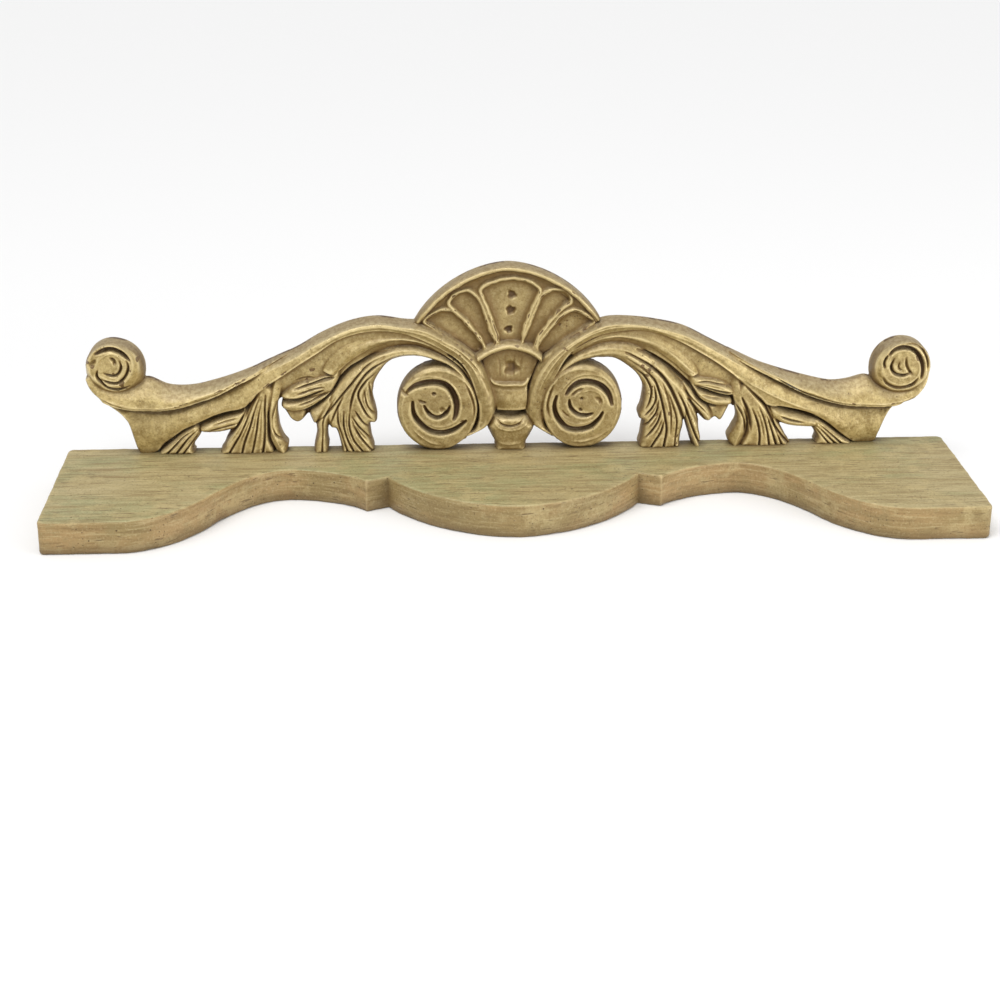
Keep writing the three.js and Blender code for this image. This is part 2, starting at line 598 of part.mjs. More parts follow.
function boardOutline() {
  const end = BOARD_LENGTH / 2;
  const front = BACK - BOARD_DEPTH;
  const cove = [COVE_FROM_CENTRE, BACK - COVE_FROM_BACK];
  const swell = [SWELL_FROM_CENTRE, BACK - SWELL_FROM_BACK];
  const notch = [NOTCH_FROM_CENTRE, BACK - NOTCH_FROM_BACK];
  const step = [notch[0] - NOTCH_WIDTH, notch[1] + NOTCH_RISE];
  const bow = BACK - BOW_FROM_BACK;
  const ear = end - EAR_LENGTH;
  const swellWidth = ear - swell[0];
  const swellDepth = swell[1] - front;
  const coveWidth = swell[0] - cove[0];
  const coveDepth = cove[1] - swell[1];
  const notchSpan = cove[0] - notch[0];
  const rest = BOARD_CORNER * (1 - QUARTER_ARC);
  const outline = new THREE.Shape();
  outline.moveTo(0, bow);
  // Drawn along one half of the front, then back along the other as its mirror.
  const half = [
    [[0.39 * step[0], bow], [0.81 * step[0], step[1] + 0.53 * (bow - step[1])], step],
    [notch],
    [[notch[0] + 0.14 * notchSpan, notch[1] + 0.4 * (cove[1] - notch[1])],
      [cove[0] - 0.42 * notchSpan, cove[1]], cove],
    [[cove[0] + 0.44 * coveWidth, cove[1]],
      [swell[0] - 0.19 * coveWidth, swell[1] + 0.39 * coveDepth], swell],
    [[swell[0] + 0.18 * swellWidth, swell[1] - 0.42 * swellDepth],
      [ear - 0.44 * swellWidth, front], [ear, front]],
    [[end - BOARD_CORNER, front]],
    [[end - rest, front], [end, front + rest], [end, front + BOARD_CORNER]],
    [[end, BACK - BOARD_CORNER]],
    [[end, BACK - rest], [end - rest, BACK], [end - BOARD_CORNER, BACK]],
  ];
  for (const run of half) {
    if (run.length === 1) outline.lineTo(...run[0]);
    else outline.bezierCurveTo(...run.flat());
  }
  const mirrored = ([x, y]) => [-x, y];
  outline.lineTo(...mirrored([end - BOARD_CORNER, BACK]));
  for (let i = half.length - 1; i >= 1; i -= 1) {
    const target = mirrored(half[i - 1].at(-1));
    const run = half[i];
    if (run.length === 1) outline.lineTo(...target);
    else outline.bezierCurveTo(...mirrored(run[1]), ...mirrored(run[0]), ...target);
  }
  const [first, second] = half[0];
  outline.bezierCurveTo(...mirrored(second), ...mirrored(first), 0, bow);
  return outline;
}

function shelfBoard() {
  const geometry = new THREE.ExtrudeGeometry(boardOutline(), {
    depth: BOARD_THICKNESS - 2 * BOARD_EDGE,
    curveSegments: 8,
    bevelEnabled: true,
    bevelThickness: BOARD_EDGE,
    bevelSize: BOARD_EDGE,
    bevelOffset: -BOARD_EDGE,
    bevelSegments: 1,
  });
  geometry.translate(0, 0, BOARD_EDGE);
  return solidOf(geometry);
}

const GILT = new THREE.MeshStandardMaterial({ color: 0xc4a878, roughness: 0.62, metalness: 0.1 });
const PAINT = new THREE.MeshStandardMaterial({ color: 0xb09c70, roughness: 0.7, metalness: 0 });

const headpiece = new THREE.Group();
headpiece.add(meshOf("shelf_board", shelfBoard(), PAINT));
headpiece.add(meshOf("carved_crest", carvedCrest(), GILT));

export default headpiece;
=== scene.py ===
import math

import bmesh
import bpy
import numpy as np
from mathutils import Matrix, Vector


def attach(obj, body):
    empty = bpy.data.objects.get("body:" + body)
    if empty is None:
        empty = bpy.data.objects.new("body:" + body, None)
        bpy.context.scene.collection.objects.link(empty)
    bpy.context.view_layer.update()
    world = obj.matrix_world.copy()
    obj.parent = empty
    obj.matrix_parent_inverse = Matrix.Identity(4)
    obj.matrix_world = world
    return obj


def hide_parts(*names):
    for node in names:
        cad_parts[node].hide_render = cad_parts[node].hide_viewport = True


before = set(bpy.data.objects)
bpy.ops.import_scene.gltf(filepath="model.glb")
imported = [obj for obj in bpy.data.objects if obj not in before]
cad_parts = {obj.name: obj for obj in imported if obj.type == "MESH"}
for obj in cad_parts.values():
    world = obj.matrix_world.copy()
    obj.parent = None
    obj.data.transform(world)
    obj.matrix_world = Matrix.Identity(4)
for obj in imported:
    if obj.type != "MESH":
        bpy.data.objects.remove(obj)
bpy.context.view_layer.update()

# Carved headpiece: a pierced scroll-and-shell crest standing on a shaped shelf board.
# The crest is carved here as a sheet of heights, in millimetres: x along the board, z up from
# the board and relief forward from the flat back. It becomes a closed mesh at the end.

BOARD_LENGTH = 900.0
BOARD_DEPTH = 200.0
BOARD_THICKNESS = 33.0
SEAT = BOARD_THICKNESS + 0.3
BACK = BOARD_DEPTH / 2
PLANK = 26.0
MM = 0.001
CREST_TRIANGLES = 190000

# the sheet's cells, and how far the distance to an outline is kept on either side of it
CELL = 0.5
LEFT_END, RIGHT_END = -430.5, 430.5
LOW_END, HIGH_END = -2.4, 195.0
NX = int(round((RIGHT_END - LEFT_END) / CELL)) + 1
NZ = int(round((HIGH_END - LOW_END) / CELL)) + 1
REACH = 3.0
AIR = -REACH

# the step along a drawn line
SPACING = 1.5

# a deep line that ends below the first height is carried on to the second, under the foot
FOOT_NEAR, FOOT_PAST = 9, -5

# how wide and how deep sawn edges are rounded, and how deep the losses are
ROUND_WIDTH, ROUND_DEPTH = 1.8, 1.5
FLAKE_DEPTH = 0.55

# the least relief of the points down a wall, and the dark tone given to the walls
LOWEST_WALL = 0.4
WALL_TONE = 0.3

grid_x = (LEFT_END + CELL * np.arange(NX)).astype(np.float32)
grid_z = (LOW_END + CELL * np.arange(NZ)).astype(np.float32)

# the sheets: relief, distance inside the outline, dark tone (stain, and painted shade in the recesses), and
# how rubbed the surface is
height = np.zeros((NZ, NX), np.float32)
inside = np.full((NZ, NX), AIR, np.float32)
stain_and_shade = np.zeros((NZ, NX), np.float32)
bare = np.zeros((NZ, NX), np.float32)
rng = np.random.default_rng(17)


# Curves and fields

def curve(points, count):
    """Catmull-Rom through rows of numbers, at count even steps."""
    rows = np.asarray(points, float)
    u = np.linspace(0, len(rows) - 1, count)
    i = np.minimum(u.astype(int), len(rows) - 2)
    t = (u - i)[:, None]
    before = rows[np.maximum(i - 1, 0)]
    start = rows[i]
    end = rows[i + 1]
    after = rows[np.minimum(i + 2, len(rows) - 1)]
    bend = 2 * before - 5 * start + 4 * end - after
    twist = 3 * start - before - 3 * end + after
    return start + 0.5 * t * (end - before + t * (bend + t * twist))


def line_length(points):
    rows = np.asarray(points, float)
    return float(np.hypot(*(rows[1:] - rows[:-1])[:, :2].T).sum())


def smooth(points):
    """An open line drawn smoothly through its points."""
    return curve(points, max(4, int(line_length(points) / SPACING)))


def closed(points):
    """A closed outline drawn smoothly through its points."""
    rows = np.asarray(points, float)
    count = len(rows)
    ring = np.vstack([rows[-2:], rows, rows[:2]])
    parts = max(2, int(line_length(np.vstack([rows, rows[:1]])) / SPACING / count))
    fine = curve(ring, (len(ring) - 1) * parts + 1)
    return fine[2 * parts:(count + 2) * parts]


def window(x0, x1, z0, z1, margin):
    """The rows and columns of the sheet that a box covers, with a margin round it."""
    i0 = max(0, int((x0 - margin - LEFT_END) / CELL))
    i1 = min(NX, int((x1 + margin - LEFT_END) / CELL) + 2)
    k0 = max(0, int((z0 - margin - LOW_END) / CELL))
    k1 = min(NZ, int((z1 + margin - LOW_END) / CELL) + 2)
    return slice(k0, k1), slice(i0, i1)


def around(points, margin):
    (x0, z0), (x1, z1) = points.min(axis=0), points.max(axis=0)
    return window(x0, x1, z0, z1, margin)


def places(area):
    """The x and z of a window's cells."""
    return grid_x[area[1]][None], grid_z[area[0]][:, None]


def size_of(area):
    return area[0].stop - area[0].start, area[1].stop - area[1].start


def blurred(field, radius):
    """Gaussian blur by a separable kernel; radius in cells."""
    reach = max(1, int(3 * radius))
    kernel = np.exp(-0.5 * (np.arange(-reach, reach + 1) / radius) ** 2)
    kernel /= kernel.sum()
    out = field
    for axis in (0, 1):
        pad = [(reach, reach) if a == axis else (0, 0) for a in (0, 1)]
        padded = np.pad(out, pad, mode="edge")
        total = np.zeros_like(out)
        for step, weight in enumerate(kernel):
            part = slice(step, step + out.shape[axis])
            total += weight * (padded[part] if axis == 0 else padded[:, part])
        out = total
    return out


def between_cells(field, row, col):
    """A field's values at places between its cells, counted in cells."""
    r, c = row.astype(int), col.astype(int)
    fr, fc = row - r, col - c
    low = field[r, c] * (1 - fc) + field[r, c + 1] * fc
    high = field[r + 1, c] * (1 - fc) + field[r + 1, c + 1] * fc
    return low * (1 - fr) + high * fr


def noise(scale, shape=(NZ, NX)):
    """Smooth random field of about unit spread; scale in cells."""
    coarse = max(1, int(scale / 3))
    size = [n // coarse + 8 for n in shape]
    field = blurred(rng.standard_normal(size), scale / coarse)
    field /= field.std()
    rows, cols = [np.arange(n) / coarse + 3 for n in shape]
    return between_cells(field, rows[:, None], cols[None]).astype(np.float32)


def to_line(line, area, reach):
    """Distance from each cell of a window to a line, and how far along the line it is."""
    ks, xs = area
    shape = size_of(area)
    near = np.full(shape, reach, np.float32)
    along = np.zeros(shape, np.float32)
    last = len(line) - 1
    for n in range(last):
        (ax, az), (bx, bz) = line[n], line[n + 1]
        part = window(min(ax, bx), max(ax, bx), min(az, bz), max(az, bz), reach)
        k0, k1 = max(part[0].start, ks.start), min(part[0].stop, ks.stop)
        i0, i1 = max(part[1].start, xs.start), min(part[1].stop, xs.stop)
        if k1 <= k0 or i1 <= i0:
            continue
        px = grid_x[i0:i1][None] - ax
        pz = grid_z[k0:k1][:, None] - az
        dx, dz = bx - ax, bz - az
        t = np.clip((px * dx + pz * dz) / max(dx * dx + dz * dz, 1e-9), 0, 1)
        gap = np.hypot(px - t * dx, pz - t * dz)
        view = (slice(k0 - ks.start, k1 - ks.start), slice(i0 - xs.start, i1 - xs.start))
        closer = gap < near[view]
        near[view] = np.where(closer, gap, near[view])
        along[view] = np.where(closer, (n + t) / last, along[view])
    return near, along


def signed(outline, area, reach=REACH):
    """Signed distance to a closed outline, positive inside, capped at the reach."""
    ks, xs = area
    rows, cols = size_of(area)
    crossings = np.zeros((rows, cols + 1), np.int32)
    ring = np.vstack([outline, outline[:1]])
    for (ax, az), (bx, bz) in zip(ring[:-1], ring[1:]):
        if az == bz:
            continue
        z = grid_z[ks]
        hit = np.nonzero((z >= min(az, bz)) & (z < max(az, bz)))[0]
        if not len(hit):
            continue
        x = ax + (z[hit] - az) / (bz - az) * (bx - ax)
        cell = np.ceil((x - grid_x[xs.start]) / CELL).astype(int)
        np.add.at(crossings, (hit, np.clip(cell, 0, cols)), 1)
    within = (np.cumsum(crossings[:, :cols], axis=1) % 2).astype(bool)
    gap = to_line(ring, area, reach)[0]
    return np.where(within, gap, -gap)


def lay(sdf, heights, area, tone=0.0):
    """Lays a form over what is there: the higher surface shows, with its own dark tone."""
    cover = np.clip(0.5 + sdf / CELL, 0, 1)
    there = height[area]
    height[area] = np.where(
        inside[area] > AIR,
        there * (1 - cover) + np.maximum(there, heights) * cover,
        np.where(sdf > AIR, heights, there),
    )
    above = cover * (heights > there - 0.2)
    stain_and_shade[area] = stain_and_shade[area] * (1 - above) + tone * above
    inside[area] = np.maximum(inside[area], sdf)


# Bands, rounded forms and strokes

def ribbon(side, rungs, keys, tone=0.0):
    """A band between two edges. keys are [place along the rungs, heights across the band]."""
    rungs = np.asarray(rungs, float)
    length = max(line_length(rungs[:, :2]), line_length(rungs[:, 2:]))
    span = np.hypot(rungs[:, 2] - rungs[:, 0], rungs[:, 3] - rungs[:, 1]).max()
    nu, nv = int(length / 0.4) + 2, int(span / 0.4) + 2
    edges = curve(rungs, nu)
    v = np.linspace(0, 1, nv)
    x = side * (edges[:, :1] * (1 - v) + edges[:, 2:3] * v)
    z = edges[:, 1:2] * (1 - v) + edges[:, 3:4] * v
    along = np.linspace(0, len(rungs) - 1, nu)
    stations = [station for station, _ in keys]
    across = np.array([heights for _, heights in keys], float)
    table = np.stack([np.interp(along, stations, column) for column in across.T], 1)
    fine = curve(table.T, nv).T
    spaced = edges[::3]
    ring = np.vstack([spaced[:, :2], edges[-1:, :2], edges[-1:, 2:], spaced[::-1, 2:]])
    ring = ring * [side, 1]
    area = around(ring, REACH)
    lay(signed(ring, area), splat(x, z, fine, area), area, tone)


def splat(x, z, values, area):
    """Averages samples into the cells of a window, and carries them a little further out."""
    shape = size_of(area)
    fx = (x - grid_x[area[1].start]) / CELL
    fz = (z - grid_z[area[0].start]) / CELL
    ix, iz = np.floor(fx).astype(int), np.floor(fz).astype(int)
    total = np.zeros(shape[0] * shape[1])
    weight = np.zeros(shape[0] * shape[1])
    for dz in (0, 1):
        for dx in (0, 1):
            share = (1 - abs(fx - ix - dx)) * (1 - abs(fz - iz - dz))
            ok = (ix + dx >= 0) & (ix + dx < shape[1]) & (iz + dz >= 0) & (iz + dz < shape[0])
            cell = ((iz + dz) * shape[1] + ix + dx)[ok]
            total += np.bincount(cell, (share * values)[ok], len(total))
            weight += np.bincount(cell, share[ok], len(total))
    total, weight = total.reshape(shape), weight.reshape(shape)
    spread, spread_weight = blurred(total, 2.0), blurred(weight, 2.0)
    far, far_weight = blurred(spread, 4.0), blurred(spread_weight, 4.0)
    known = weight > 0.2
    nearby = spread_weight > 1e-3
    wide = far / np.maximum(far_weight, 1e-9)
    close = np.where(nearby, spread / np.maximum(spread_weight, 1e-9), wide)
    return np.where(known, total / np.maximum(weight, 1e-9), close).astype(np.float32)


def patch(side, points, top, drop, fall, crown, tone=0.0):
    """A rounded form with a closed outline; its edge falls by the drop over the width of the fall."""
    outline = closed(points) * [side, 1]
    area = around(outline, REACH)
    reach = max(REACH, fall)
    sdf = signed(outline, area, reach)
    edge = np.clip(sdf / fall, 0, 1)
    lay(np.clip(sdf, AIR, REACH), top - drop * (1 - edge) ** 2 + crown * edge, area, tone)


def cut(side, points):
    """Saws a closed outline right through."""
    outline = closed(points) * [side, 1]
    area = around(outline, REACH)
    inside[area] = np.minimum(inside[area], -signed(outline, area))


def stroke(side, points, width, depth, start=0.3, end=0.3):
    """A gouge line of the given depth, or a raised line where the depth is negative."""
    line = smooth(points) * [side, 1]
    area = around(line, width)
    near, along = to_line(line, area, width)
    taper = np.minimum(np.minimum(start + along * (1 - start) * 4, 1),
                       np.minimum(end + (1 - along) * (1 - end) * 4, 1))
    # narrow lines are V cuts; wide ones are rounded, and steep where they are deep
    rounded = min(max((width - 1.6) / 1.4, 0), 1)
    steep = rounded * (depth > 5)
    shape = np.clip(1 - near / (width * (1 - 0.24 * steep) * np.sqrt(taper)), 0, 1)
    swell = np.sin(shape * math.pi / 2) ** 0.8
    swell = np.clip((1 + 0.7 * steep) * swell, 0, 1)
    shape = shape * (1 - rounded) + swell * rounded
    height[area] -= depth * taper * shape
    # deep cuts are darkened along their line: painted shade in the groove
    if depth > 4:
        dark = 1.4 if width > 2.5 else 0.55 if width > 1.65 else 0.25
        stain_and_shade[area] = np.maximum(stain_and_shade[area], dark * shape * taper)


def between(side, first, second):
    """A thin gouge line half way between two others."""
    a, b = smooth(first[2]), smooth(second[2])
    count = max(len(a), len(b))
    a, b = curve(a, count), curve(b, count)
    gap = np.hypot(*(a - b).T).mean()
    if 2.6 < gap < 15:
        rows = ((a + b) / 2)[count // 10:count - count // 8:4]
        depth = 0.42 * min(first[1], second[1], 7)
        stroke(side, rows, 0.9 + 0.04 * gap, depth, 0.1, 0.1)


def along_band(side, rungs, across, width, depth, first, last):
    """A line that follows a band at a fraction across it."""
    rungs = np.asarray(rungs, float)[first:last]
    line = rungs[:, :2] * (1 - across) + rungs[:, 2:] * across
    stroke(side, line, width, depth, 0.15, 0.15)


def strokes(side, rows):
    """Rows of width, depth and points; deep lines that end near the foot run off it."""
    for width, depth, points in rows:
        (ax, az), (bx, bz) = points[-2:]
        if bz < FOOT_NEAR and depth > 3 and az > bz:
            run = (bz - FOOT_PAST) / (az - bz)
            points = points + [(bx + run * (bx - ax), FOOT_PAST)]
            stroke(side, points, width, depth, 0.3, 0.9)
        else:
            stroke(side, points, width, depth)


def drum(side, ovals, tone):
    """A scroll's drum: ovals [relief, d, z, half width, half height] from the back."""
    base = np.array(ovals[0][1:])
    ring = np.array([[side * (base[0] + base[2] * math.cos(a)), base[1] + base[3] * math.sin(a)]
                     for a in np.linspace(0, 2 * math.pi, 90, endpoint=False)])
    area = around(ring, 12)
    x, z = places(area)

    def share(oval):
        return np.hypot((x - side * oval[1]) / oval[3], (z - oval[2]) / oval[4])

    heights = np.zeros((z.shape[0], x.shape[1]), np.float32)
    sdf = np.full(heights.shape, AIR, np.float32)
    below = share(ovals[0])
    for low, high in zip(ovals[:-1], ovals[1:]):
        above = share(high)
        rise = np.where(above < 1, 1, np.clip((1 - below) / np.maximum(above - below, 1e-6), 0, 1))
        reached = low[0] + (high[0] - low[0]) * rise
        heights = np.where((below < 1) | (above < 1), np.maximum(heights, reached), heights)
        below = above
    for oval in ovals:
        sdf = np.maximum(sdf, (1 - share(oval)) * min(oval[3], oval[4]))
    # the steep flank round the drum's face is darkened: painted shade
    flank = np.clip((share(ovals[-1]) - 1.02) / 0.1, 0, 1)
    lay(np.clip(sdf, AIR, REACH), heights.astype(np.float32), area, tone + 0.35 * flank)


# Left and right halves, as d out from the middle and z up from the board. Bands are rungs
# [d, z, d, z] from one edge to the other, tips and leaves [relief, outline], gouges, fans and
# beads [width, depth, points], and worn lines [width, points].

CENTRE_DRUM = [[0, 73.5, 44.5, 41, 45.5], [14, 73.5, 44.5, 41, 45.5], [19, 73, 44.2, 40, 44],
               [21.5, 72.3, 44, 37.8, 41.5]]

LEFT = {
    "arm": [
        [413, 63, 405, 52], [398, 54, 386, 34], [384, 50, 376, 0], [368, 48.5, 360, 0],
        [350, 48, 349, 11], [325, 53, 327, 25], [300, 61, 300, 38], [275, 74, 272, 46],
        [258, 86, 262, 53], [241, 94.5, 250, 67], [214, 106.5, 224, 84], [188, 121.5, 197, 102],
        [160, 133, 170, 119], [133, 137.5, 138, 127], [107, 134, 107, 124], [84, 131, 84, 115],
        [60, 118, 62, 102], [42, 105, 50, 92], [30, 93, 41, 78], [21, 74, 35, 60],
        [14, 56, 31.5, 44], [14, 40, 32, 30], [21, 25, 37, 20], [40, 13, 53, 15],
    ],
    "roll": [
        [412, 84, 422, 79], [408, 78, 419.5, 70], [400, 74, 411, 61.5], [386, 73, 397, 54.5],
        [373, 76, 382, 50.5], [362, 77, 368, 49.5], [346, 69.5, 350, 49], [332, 67.5, 330, 52],
        [316, 68.5, 314, 57], [299, 72.5, 297, 63], [279, 78.5, 277, 73.5], [258, 86.5, 259, 82.5],
        [240, 95, 241, 93], [222, 103, 222.5, 102.4],
    ],
    "web": [
        [262, 60, 264, 45], [240, 76, 243, 50], [215, 92, 215, 62], [190, 110, 194, 56],
        [165, 122, 170, 66], [140, 128, 146, 86], [115, 126, 118, 100], [90, 120, 92, 103],
        [62, 102, 64, 94],
    ],
    "tongue": [
        [188, 85.5, 177, 81], [185, 92.5, 171, 85.5], [179, 101, 164, 92], [168, 111, 152, 101],
        [150, 118.5, 136, 109.5], [128, 121.5, 119, 115], [105, 119.5, 103, 115.5],
        [84, 114, 84, 110.5], [64, 102, 65, 98.5], [48, 88, 50, 85.5], [38, 72, 39.5, 70.5],
        [33, 56, 33.6, 55.4],
    ],
    "lower": [
        [36, 58, 36.5, 53], [43, 74, 42, 66], [50, 85, 50, 77], [63, 96, 61, 88],
        [80, 104.5, 77, 95], [95, 109, 95, 99], [108, 109.5, 109, 98.5], [121, 108, 121, 94.5],
        [134, 103, 130, 85], [147, 95, 137, 72], [160, 84, 139, 58], [175, 70, 141, 45],
    ],
    "hook": [
        [240, 84, 228, 82], [244, 68, 231, 64], [246, 48, 235, 48], [247, 30, 234.5, 32],
        [246, 14, 230, 18], [240, 0, 225.5, 9], [234, -4, 226, 0],
    ],
    "slot": [[318, 31, 316, 22], [295, 41, 295, 27], [268, 48, 268, 34]],
    "leaf_back": [[230, 62, 230, 42], [210, 66, 213, 26], [190, 68, 190, 44], [176, 62, 176, 36]],
    "bed": [
        [88, 101, 86, 80], [63, 100, 64, 72], [40, 84, 54, 64], [24, 64, 50, 54], [20, 46, 50, 45],
        [22, 27, 50, 30], [40, 15, 56, 20],
    ],
    "leaves": [
        [19, [(318, 31), (330, 24), (342, 14), (355, 3), (354, -3), (322, -3), (321, 8), (313, 21)]],
        [18.5, [(265, 47), (280, 41), (298, 36), (313, 28), (313, 21), (298, 20), (282, 23), (266, 28)]],
        [20, [(250, 75), (258, 60), (266, 44), (275, 34), (284, 20), (290, 8), (291, -3), (242, -3),
            (243, 20), (242, 40), (237, 66)]],
        [21, [(170, 89), (182, 82), (200, 77), (215, 73), (229, 63), (230, 56), (220, 54), (203, 56),
            (188, 60), (176, 66)]],
        [20, [(172, 76), (186, 64), (202, 60), (215, 56), (229, 53), (230, 46), (219, 42), (206, 44),
            (193, 50), (180, 58)]],
        [20, [(176, 74), (186, 62), (193, 50), (202, 42), (200, 30), (195, 30), (190, 36), (180, 50)]],
        [21, [(186, 58), (195.5, 34), (196, 20), (198.5, 8), (200, -3), (184, -3), (185, 14), (184, 26),
            (176, 50)]],
        [21, [(150, 92), (168, 78), (182, 60), (188, 40), (182, 25), (176, 22), (172, 6), (171, -3),
            (140, -3), (141, 14), (142, 28), (137, 29), (134.5, 34), (136, 44), (139, 58), (138, 74)]],
    ],
    "end_drum": [[0, 395.5, 87, 29.5, 30.5], [9, 395.5, 88.5, 29.5, 29.5], [19, 397, 93, 26, 25.5],
        [24.5, 398, 95.5, 22.5, 21.5]],
    "gouges": [
        # under the roll and along the arm
        [4.5, 3.0, [(392, 49), (376, 46), (350, 45), (335, 47), (318, 53), (300, 60), (286, 66)]],
        [2.2, 1.2, [(286, 66), (274, 74), (262, 82), (252, 88)]],
        [1.6, 1.4, [(84, 127), (66, 117), (52, 106), (41, 95), (32, 84), (25, 72), (20, 60)]],
        # first centre scroll
        [4.3, 9, [(104, 63), (98, 68), (90, 71), (80, 72.5), (70, 71.5), (62, 67), (56.5, 58), (54, 48),
            (55, 38), (57, 33)]],
        [3.6, 9, [(98.5, 52), (98, 42), (95, 34), (88, 26), (80, 20.5), (70, 18.5), (60, 20.5), (52, 25),
            (45, 31)]],
        [2.7, 7, [(87, 48), (84, 42), (80, 37.5), (74, 35), (68, 37), (63.5, 41), (61, 47)]],
        [2.4, 4, [(110, 66), (107, 61.5), (103, 60)]],
        [1.6, 3, [(46, 72), (41, 62), (37, 50), (36, 40), (38, 28)]],
        [2.0, 3, [(93, 54), (88, 51.5), (85, 52)]],
        [2.2, 4, [(79, 61), (75, 60)]],
        [3.0, 2.5, [(70, 46), (68, 42), (64, 42)]],
        # left end scroll
        [2.9, 7, [(412, 108), (405, 111.5), (397, 113), (390, 111), (384, 107), (379, 101)]],
        [1.8, 5, [(382, 101), (380.5, 94), (382.5, 87), (387, 81), (393, 77.5), (402, 79), (409, 82)]],
        [2.0, 6, [(411, 91), (412, 85), (408, 78.5), (403, 73.5), (396, 70.5), (389, 70.5), (381, 73)]],
        [1.7, 5, [(405, 88), (400, 86), (394, 85.5), (389.5, 89), (387.5, 95), (389, 101)]],
        [2.2, 4, [(398, 104), (394, 101), (394, 96)]],
        [2.6, 3, [(422, 97), (416, 98), (412, 103)]],
        # slot above the small leaf
        [3.4, 9, [(269.5, 44), (280, 42.5), (292, 39.5), (304, 34.5), (316, 29)]],
        [1.2, 3, [(275, 37), (287, 33.5), (300, 29.5)]],
        [1.2, 3, [(273, 32), (286, 28.5), (299, 25), (308, 22)]],
    ],
    "fans": [
        [
            # small leaf by the end foot
            [1.5, 7, [(317, 30), (330, 23.5), (342, 14), (352, 5)]],
            [1.2, 4.5, [(318, 26), (331, 17), (341, 7)]],
            [1.2, 4.5, [(316, 25), (326, 16), (334, 6)]],
            [1.1, 4, [(314, 23), (320, 15), (327, 6)]],
        ],
        [
            # big outer leaf
            [1.6, 5, [(262, 55), (268, 42), (276, 28), (286, 15), (294, 5)]],
            [1.3, 4, [(256, 58), (263, 42), (270, 26), (278, 12), (284, 2)]],
            [1.3, 4, [(252, 60), (258, 44), (263, 28), (269, 12), (272, 1)]],
            [1.2, 3.5, [(250, 56), (254, 40), (256.5, 24), (260, 8), (262, 0)]],
            [1.6, 5, [(246, 62), (247.5, 46), (248, 30), (249, 14), (251, 2)]],
            [1.4, 4, [(235, 54), (240, 40), (240.5, 28), (237, 19), (229, 13)]],
            [2.0, 5, [(244, 44), (244.5, 28), (244, 14), (240, 4)]],
        ],
        [
            # leaf that points outwards
            [1.6, 6.5, [(176, 79.5), (186, 77), (196, 73.5), (206, 70.5), (217, 67)]],
            [1.4, 3.5, [(187, 69), (197, 67.5), (206, 64.5), (214, 62)]],
            [1.9, 8, [(188, 66), (198, 61.5), (206, 58), (215, 55.5), (229, 57)]],
            [1.3, 4, [(187, 61), (195, 57), (204, 53), (214, 50)]],
            [2.0, 6, [(180, 62), (190, 53.5), (200, 46.5), (208, 43)]],
            [1.1, 2, [(198, 78), (206, 78), (216, 75)]],
        ],
        [
            # fan of the inner leaf
            [2.0, 6, [(116, 108), (134, 102), (150, 93), (160, 87), (170, 77), (180, 63), (190, 52)]],
            [1.3, 4, [(126, 101), (139, 94), (150, 84), (160, 72), (170, 60), (178, 50), (188, 38),
                (196, 32)]],
            [1.2, 3.5, [(176, 58), (183, 46), (189, 34), (190, 20), (191, 4)]],
            [1.5, 5, [(120, 98), (134, 91), (146, 81), (156, 66), (160, 54), (162, 44)]],
            [1.2, 3.5, [(168, 60), (176, 44), (182, 30)]],
            [1.3, 4, [(174, 50), (174, 32), (170, 16), (166, 2)]],
            [1.3, 4.5, [(168, 44), (168.5, 28), (165, 13), (160, 2)]],
            [1.2, 4, [(162, 44), (163, 28), (159, 13), (152, 3)]],
            [1.2, 4, [(160, 38), (154, 28), (147, 20), (142, 12)]],
            [1.2, 4, [(158, 28), (152, 16), (144, 5)]],
            [1.2, 4, [(157, 44), (150, 33), (143, 26)]],
            [1.4, 4.5, [(134, 84), (145, 75), (153, 62), (150, 50), (145, 40), (139, 34)]],
            [1.2, 3.5, [(147, 66), (145, 52), (141, 44), (136, 39)]],
            [1.3, 4, [(142, 74), (141, 60), (139, 50)]],
        ],
    ],
    "beads": [
        [1.6, 1.2, [(106, 68), (97, 75), (86, 78.5), (76, 78.5), (66, 76), (58, 69), (52, 59), (49, 48)]],
        [1.4, 1.0, [(90, 35), (82, 28.5), (72, 25), (62, 27), (54, 31)]],
        [1.6, 1.4, [(99, 24), (90, 15), (80, 8.5), (70, 6)]],
        [1.3, 1.0, [(414, 110), (406, 116), (398, 117.5), (388, 115), (380, 108), (376.5, 100), (376, 91)]],
        [1.4, 1.2, [(411, 99), (405, 105), (398, 108), (391, 106.5), (386, 101)]],
        [1.3, 1.0, [(411, 88), (405, 83), (397, 79.5), (389, 80)]],
        [1.6, 1.2, [(412, 64), (402, 58), (392, 54.5), (380, 51), (366, 49), (350, 49), (334, 52)]],
        [1.4, 1.0, [(262, 58), (250, 68), (236, 78), (218, 90), (200, 101.5), (180, 113)]],
        [1.6, 1.4, [(229, 61), (222, 58.5), (213, 59.5), (204, 62.5)]],
        [1.5, 1.0, [(228, 47.5), (220, 44.5), (208, 46), (196, 51)]],
        [1.6, 1.0, [(140, 88), (150, 76), (157, 64), (160, 52)]],
        [1.4, 1.0, [(288, 6), (275, 19), (265, 33), (259, 49), (249, 64)]],
    ],
    "sawn": [
        [(321, 6.5), (316, 14), (312, 20), (300, 19.8), (294.5, 17), (293.5, 9), (295, 2), (308, 1.5),
            (320, 1.5)],
        [(227, 42), (222, 35), (215, 31), (207, 36), (203, 38), (198.5, 29), (197.5, 20), (199.5, 8),
            (201, -2), (225, -2), (225, 7), (230, 14), (234, 26), (234, 38), (231, 43)],
        [(177.5, 23), (182.5, 10), (184.5, -2), (171, -2), (173, 8)],
        [(103, 98), (94, 97.6), (86, 96), (79, 93.8), (74, 91.6), (79, 90.2), (87, 88), (94, 84.4),
            (102, 89)],
    ],
    "worn": [
        [1.6, [(262, 84), (245, 92), (228, 100), (212, 108)]],
